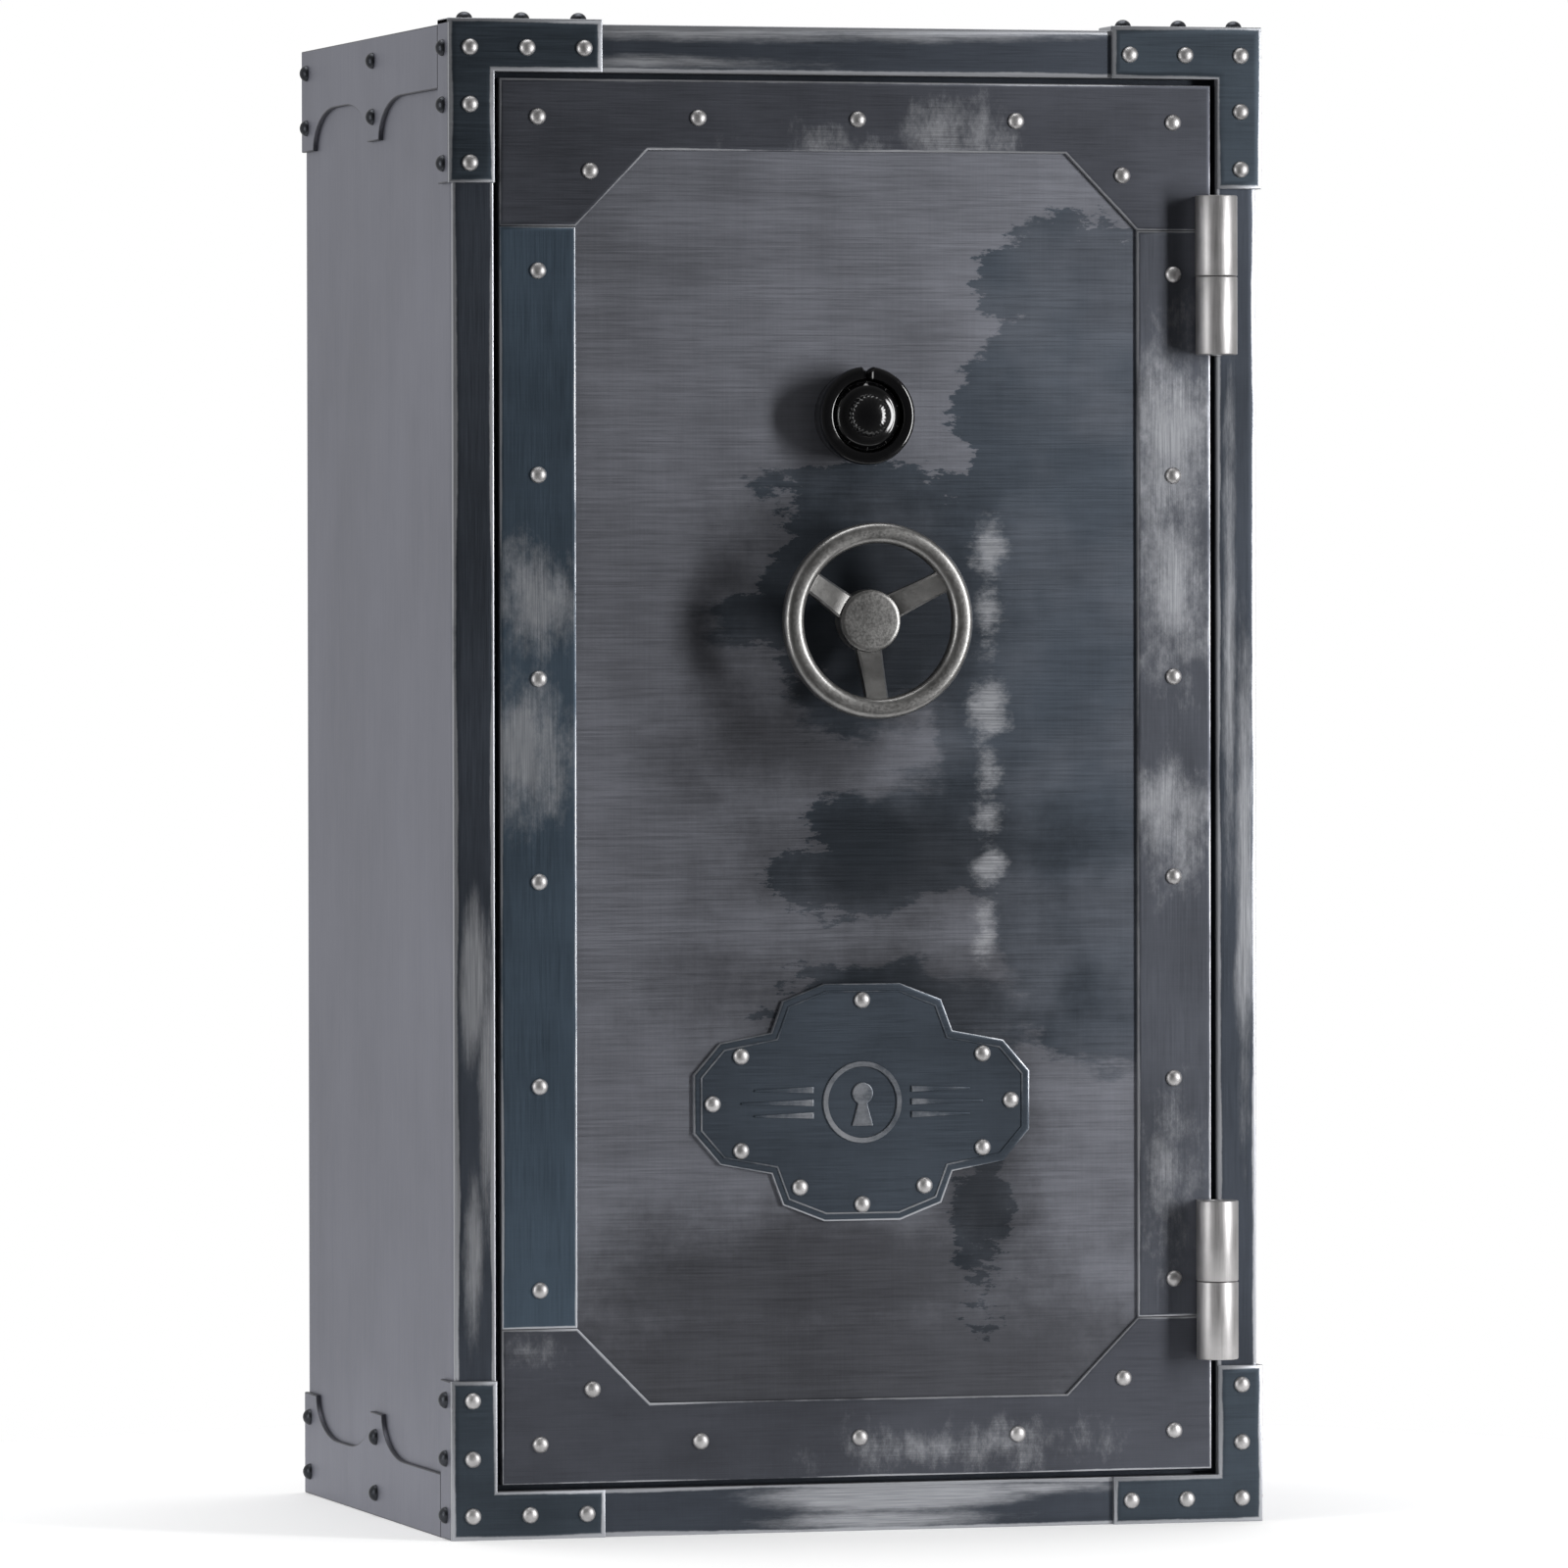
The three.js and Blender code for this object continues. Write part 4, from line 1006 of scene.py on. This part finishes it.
# Turned shapes, as radius and height pairs in millimetres
HUB_PROFILE = [
    (0, 14), (22, 14), (30, 22), (32, 27), (32, 41.5), (31.2, 43.8), (29.5, 44.8), (27, 45), (0, 45.6),
]
COLLAR_PROFILE = [(0, -3.6), (24, -3.6), (24, 8.6), (23.3, 10.6), (21, 12), (0, 12)]
HOUSING_PROFILE = [
    (0, -3.6), (45.5, -3.6), (46, -2), (46.4, 6), (47.5, 14), (49.6, 26), (50, 29), (50, 33.5),
    (49, 36.5), (47, 37.8), (44.5, 38), (40, 38), (37.9, 37.4), (37.3, 35.5), (37, 33), (37, 4.3), (0, 4.3),
]
SLOPE_FOOT = (35.4, 30.6)
SLOPE_CREST = (31, 35.2)
DIAL_PROFILE = [
    (0, 5), (35, 5), (36, 6), (36, 29), SLOPE_FOOT, SLOPE_CREST, (29.5, 36.3), (27, 37), (23.5, 37.6),
    (21.6, 38.6), (21, 41), (20.8, 45.6), (20.2, 46.8), (18.4, 48.2), (15, 49.6), (10, 50.95), (5, 51.74),
    (0, 52),
]

# The spokes, in millimetres: the radius, width, underside and top of each section
SPOKE_SECTIONS = [
    (16, 27, 26, 41),
    (31, 26, 28, 42),
    (44, 24.5, 36, 50),
    (62, 23, 46.5, 61.5),
    (76, 22.5, 55, 69.5),
    (84, 26, 59, 73),
    (90, 36, 62, 74),
]
SPOKE_CHAMFER = 2.2
SPOKE_DEGREES = (30, 150, 270)
WHEEL_PLACE = Vector((0, FRONT, WHEEL_Z))
DIAL_PLACE = Vector((0, FRONT, DIAL_Z))


def in_metres(profile):
    """A profile given in millimetres, in metres."""
    return [(radius * MM, height * MM) for radius, height in profile]


def rim_section():
    """The wheel's rim: round, with the soft shoulders of a superellipse."""
    middle, proud, radius = 89 * MM, 69 * MM, 10.5 * MM
    steps, squareness = 32, 2.7
    section = []
    for step in range(steps):
        turn = 2 * math.pi * step / steps
        across, up = math.cos(turn), math.sin(turn)
        across = math.copysign(abs(across) ** (2 / squareness), across)
        up = math.copysign(abs(up) ** (2 / squareness), up)
        section.append((middle + radius * across, proud + radius * up))
    return section


def spoke_section(half, low, high):
    """A rectangle with its corners chamfered, as pairs of width and height."""
    inset = half - SPOKE_CHAMFER
    under, over = low + SPOKE_CHAMFER, high - SPOKE_CHAMFER
    right = [(inset, high), (half, over), (half, under), (inset, low)]
    return [(-inset, high), *right, (-inset, low), (-half, under), (-half, over)]


def spoke(bm, degrees):
    """A tapering spoke, from the hub up to the rim."""
    loops = []
    for radius, width, low, high in SPOKE_SECTIONS:
        section = spoke_section(width / 2, low, high)
        loops.append([bm.verts.new((radius * MM, u * MM, v * MM)) for u, v in section])
    for near, far in zip(loops, loops[1:]):
        bridge(bm, near, far)
    bm.faces.new(loops[0])
    bm.faces.new(loops[-1][::-1])
    verts = [vert for loop in loops for vert in loop]
    bmesh.ops.transform(bm, matrix=Matrix.Rotation(math.radians(degrees), 4, "Z"), verts=verts)
    return verts


def handwheel():
    """The dished wheel: a full rim, three spokes and a round hub, in one piece."""
    bm = bmesh.new()
    verts = closed_ring(bm, rim_section(), 96)
    verts += turned_rings(bm, in_metres(HUB_PROFILE), 72)
    for degrees in SPOKE_DEGREES:
        verts += spoke(bm, degrees)
    stand(bm, verts, WHEEL_PLACE, OUTWARD)
    finish(bm, "handwheel", 28, "handle", "pewter", "handle_wheel")


def wheel_collar():
    """The fixed collar behind the wheel."""
    profile = in_metres(COLLAR_PROFILE)
    node = "handle_collar"
    turned_piece("handwheel_collar", profile, WHEEL_PLACE, OUTWARD, "door", "pewter", node, 72)


def dial_housing():
    """The dial's fixed ring, flared towards its lip, with a notch at the top for reading the dial."""
    bm = bmesh.new()
    verts = turned_rings(bm, in_metres(HOUSING_PROFILE), 144)
    half_turn, lip_height, lip_radius = math.radians(6.3), 32 * MM, 44 * MM
    depth, inward = 7 * MM, 0.11
    for vert in verts:
        cut = max(0, 1 - abs(math.atan2(vert.co.x, vert.co.y)) / half_turn)
        if vert.co.z > lip_height:
            vert.co.z -= depth * cut
        if math.hypot(vert.co.x, vert.co.y) > lip_radius:
            vert.co.xy *= 1 - inward * cut
    stand(bm, verts, DIAL_PLACE, OUTWARD)
    finish(bm, "dial_housing", 32, "door", "dial", "dial_ring")


def dial_grip():
    """The dial: a disc with a sloping rim and a fluted grip."""
    bm = bmesh.new()
    flutes, depth, foot, inner = 24, 1.1 * MM, 39 * MM, 16 * MM
    verts = turned_rings(bm, in_metres(DIAL_PROFILE), flutes * 6)
    for vert in verts:
        if vert.co.z > foot and math.hypot(vert.co.x, vert.co.y) > inner:
            wave = math.cos(flutes * math.atan2(vert.co.y, vert.co.x))
            vert.co.xy -= vert.co.xy.normalized() * depth * max(0, wave)
    stand(bm, verts, DIAL_PLACE, OUTWARD)
    finish(bm, "dial_grip", 32, "dial", "dial", "dial_knob")


def mark_size(mark):
    """A graduation's length and half its width, in millimetres: more at every tenth and fifth."""
    if mark % 10 == 0:
        return 4.6, 0.22
    if mark % 5 == 0:
        return 3.2, 0.12
    return 1.8, 0.12


def dial_marks():
    """The dial's hundred graduations, just above its sloping rim."""
    bm = bmesh.new()
    count, start, lift = 100, 0.6, 0.12
    foot, crest = Vector(SLOPE_FOOT), Vector(SLOPE_CREST)
    slope = (crest - foot).normalized()
    raised = foot + Vector((slope.y, -slope.x)) * lift
    for mark in range(count):
        length, half = mark_size(mark)
        turn = Matrix.Rotation(math.radians(90 - mark * 360 / count), 4, "Z")
        corners = []
        for rise, aside in ((0, -half), (length, -half), (length, half), (0, half)):
            place = raised + slope * (start + rise)
            corners.append(bm.verts.new(turn @ Vector((place.x * MM, aside * MM, place.y * MM))))
        bm.faces.new(corners)
    bmesh.ops.solidify(bm, geom=bm.faces[:], thickness=0.1 * MM)
    stand(bm, bm.verts[:], DIAL_PLACE, OUTWARD)
    finish(bm, "dial_graduations", 0, "dial", "ink")


handwheel()
wheel_collar()
dial_housing()
dial_grip()
dial_marks()


# -------------------- shapes kept from the frame

def dress(material, *nodes, bevel=0.0):
    """Gives CAD nodes whose shape is right a finish, and takes the sharpness off their edges."""
    for name in nodes:
        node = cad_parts[name]
        node.data.materials.clear()
        node.data.materials.append(MATERIALS[material])
        if bevel:
            softened = node.modifiers.new("softened", "BEVEL")
            softened.width = bevel
            softened.segments = 2
            softened.limit_method = "ANGLE"
            softened.angle_limit = math.radians(40)
            softened.harden_normals = True


dress("panel", "door_plate", bevel=0.8 * MM)
dress("frame", "door_jamb", bevel=0.8 * MM)
dress("rubber", "door_seal", bevel=3 * MM)
dress("shell", "base_plate")
dress("carpet", "liner_left", "liner_right", "liner_back", "liner_top", "liner_floor", bevel=2 * MM)
dress("carpet", "top_shelf", "divider", "shelf_lower", "shelf_upper", "barrel_rest", bevel=3 * MM)
dress("carpet", "inner_panel", bevel=2 * MM)
dress("board", "door_fire_board", bevel=1 * MM)
dress("plain_steel", "hard_plate", "drive_shaft", bevel=0.2 * MM)
dress("inner_steel", "bolt_frame", bevel=0.6 * MM)
dress("zinc", "gear_bracket", "lock_case", "lock_cover", bevel=0.6 * MM)
dress("bolt", "bolt_bar_left", "bolt_bar_right", "bolt_bar_top", "bolt_bar_bottom", bevel=0.3 * MM)
dress("brass", "dial_spindle", "lock_wheels", "lock_bolt", bevel=0.2 * MM)


# -------------------- stage, lights and camera

FLOOR_RADIUS = 1.25

# The lights: where each is, the point it faces, its width and height, and its power in watts
LIGHTS = {
    "key": ((2.65, -2.78, 1.2), (0.1, -0.3, 0.85), 0.6, 2.4, 96),
    "left_strip": ((-2.9, -1.35, 1.0), (0, -0.3, 0.8), 0.5, 2.4, 31),
    "floor_light": ((0, 0.4, 5), (0, 0, 0), 3, 3, 130),
}

# How bright the backdrop looks to the metal, in front of the door and behind the safe
FRONT_GLOW = 0.06
REAR_GLOW = 0.75

# The camera: a long lens and its sensor in millimetres, its place, and its turns in radians
LENS = 257.78
SENSOR_WIDTH = 36
CAMERA_PLACE = (-3.1669, -11.2968, 0.9587)
YAW = 0.2742
PITCH = -0.0173
ROLL = -0.0017


def floor():
    """A round pale sheet that the safe stands on."""
    bm = bmesh.new()
    bm.faces.new(circle(bm, FLOOR_RADIUS, 0, 96))
    mesh = bpy.data.meshes.new("floor")
    bm.to_mesh(mesh)
    bm.free()
    paper = Shader("floor_paper", (0.86, 0.86, 0.86), 0.9)
    paper.bump(paper.noise(60, 3, 0.5), 0.02)
    paper.set("Emission Color", (1, 1, 1, 1))
    paper.set("Emission Strength", 0.3)
    mesh.materials.append(paper.material)
    add_object("floor", mesh)


def softbox(name, at, towards, width, height, power):
    """A rectangular area light that faces a point."""
    lamp = bpy.data.lights.new(name, "AREA")
    lamp.shape = "RECTANGLE"
    lamp.size = width
    lamp.size_y = height
    lamp.energy = power
    light = add_object(name, lamp)
    light.location = at
    light.rotation_euler = (Vector(towards) - Vector(at)).to_track_quat("-Z", "Y").to_euler()


def surroundings():
    """A white backdrop that the metal sees dimmer: dim in front of the door, brighter behind it."""
    world = bpy.data.worlds.new("studio")
    bpy.context.scene.world = world
    world.use_nodes = True
    nodes, links = world.node_tree.nodes, world.node_tree.links
    nodes["Background"].inputs["Color"].default_value = (1, 1, 1, 1)
    coords = nodes.new("ShaderNodeTexCoord")
    split = nodes.new("ShaderNodeSeparateXYZ")
    links.new(coords.outputs["Generated"], split.inputs[0])
    fade = nodes.new("ShaderNodeMapRange")
    links.new(split.outputs["Y"], fade.inputs["Value"])
    ends = {"From Min": -1.0, "From Max": 1.0, "To Min": FRONT_GLOW, "To Max": REAR_GLOW}
    for socket, value in ends.items():
        fade.inputs[socket].default_value = value
    seen = nodes.new("ShaderNodeLightPath")
    choose = nodes.new("ShaderNodeMix")
    links.new(seen.outputs["Is Camera Ray"], choose.inputs["Factor"])
    links.new(fade.outputs[0], choose.inputs["A"])
    choose.inputs["B"].default_value = 1.0
    links.new(choose.outputs["Result"], nodes["Background"].inputs["Strength"])


def camera():
    """The view: from the left and far back, at about the height of the handwheel."""
    data = bpy.data.cameras.new("camera")
    data.lens = LENS
    data.sensor_width = SENSOR_WIDTH
    swing = Matrix.Rotation(-YAW, 4, "Z")
    tilt = Matrix.Rotation(math.pi / 2 + PITCH, 4, "X")
    lean = Matrix.Rotation(ROLL, 4, "Z")
    view = add_object("camera", data)
    view.matrix_world = Matrix.Translation(CAMERA_PLACE) @ swing @ tilt @ lean
    bpy.context.scene.camera = view


floor()
surroundings()
for name, settings in LIGHTS.items():
    softbox(name, *settings)
camera()
bpy.context.scene.view_settings.view_transform = "Standard"
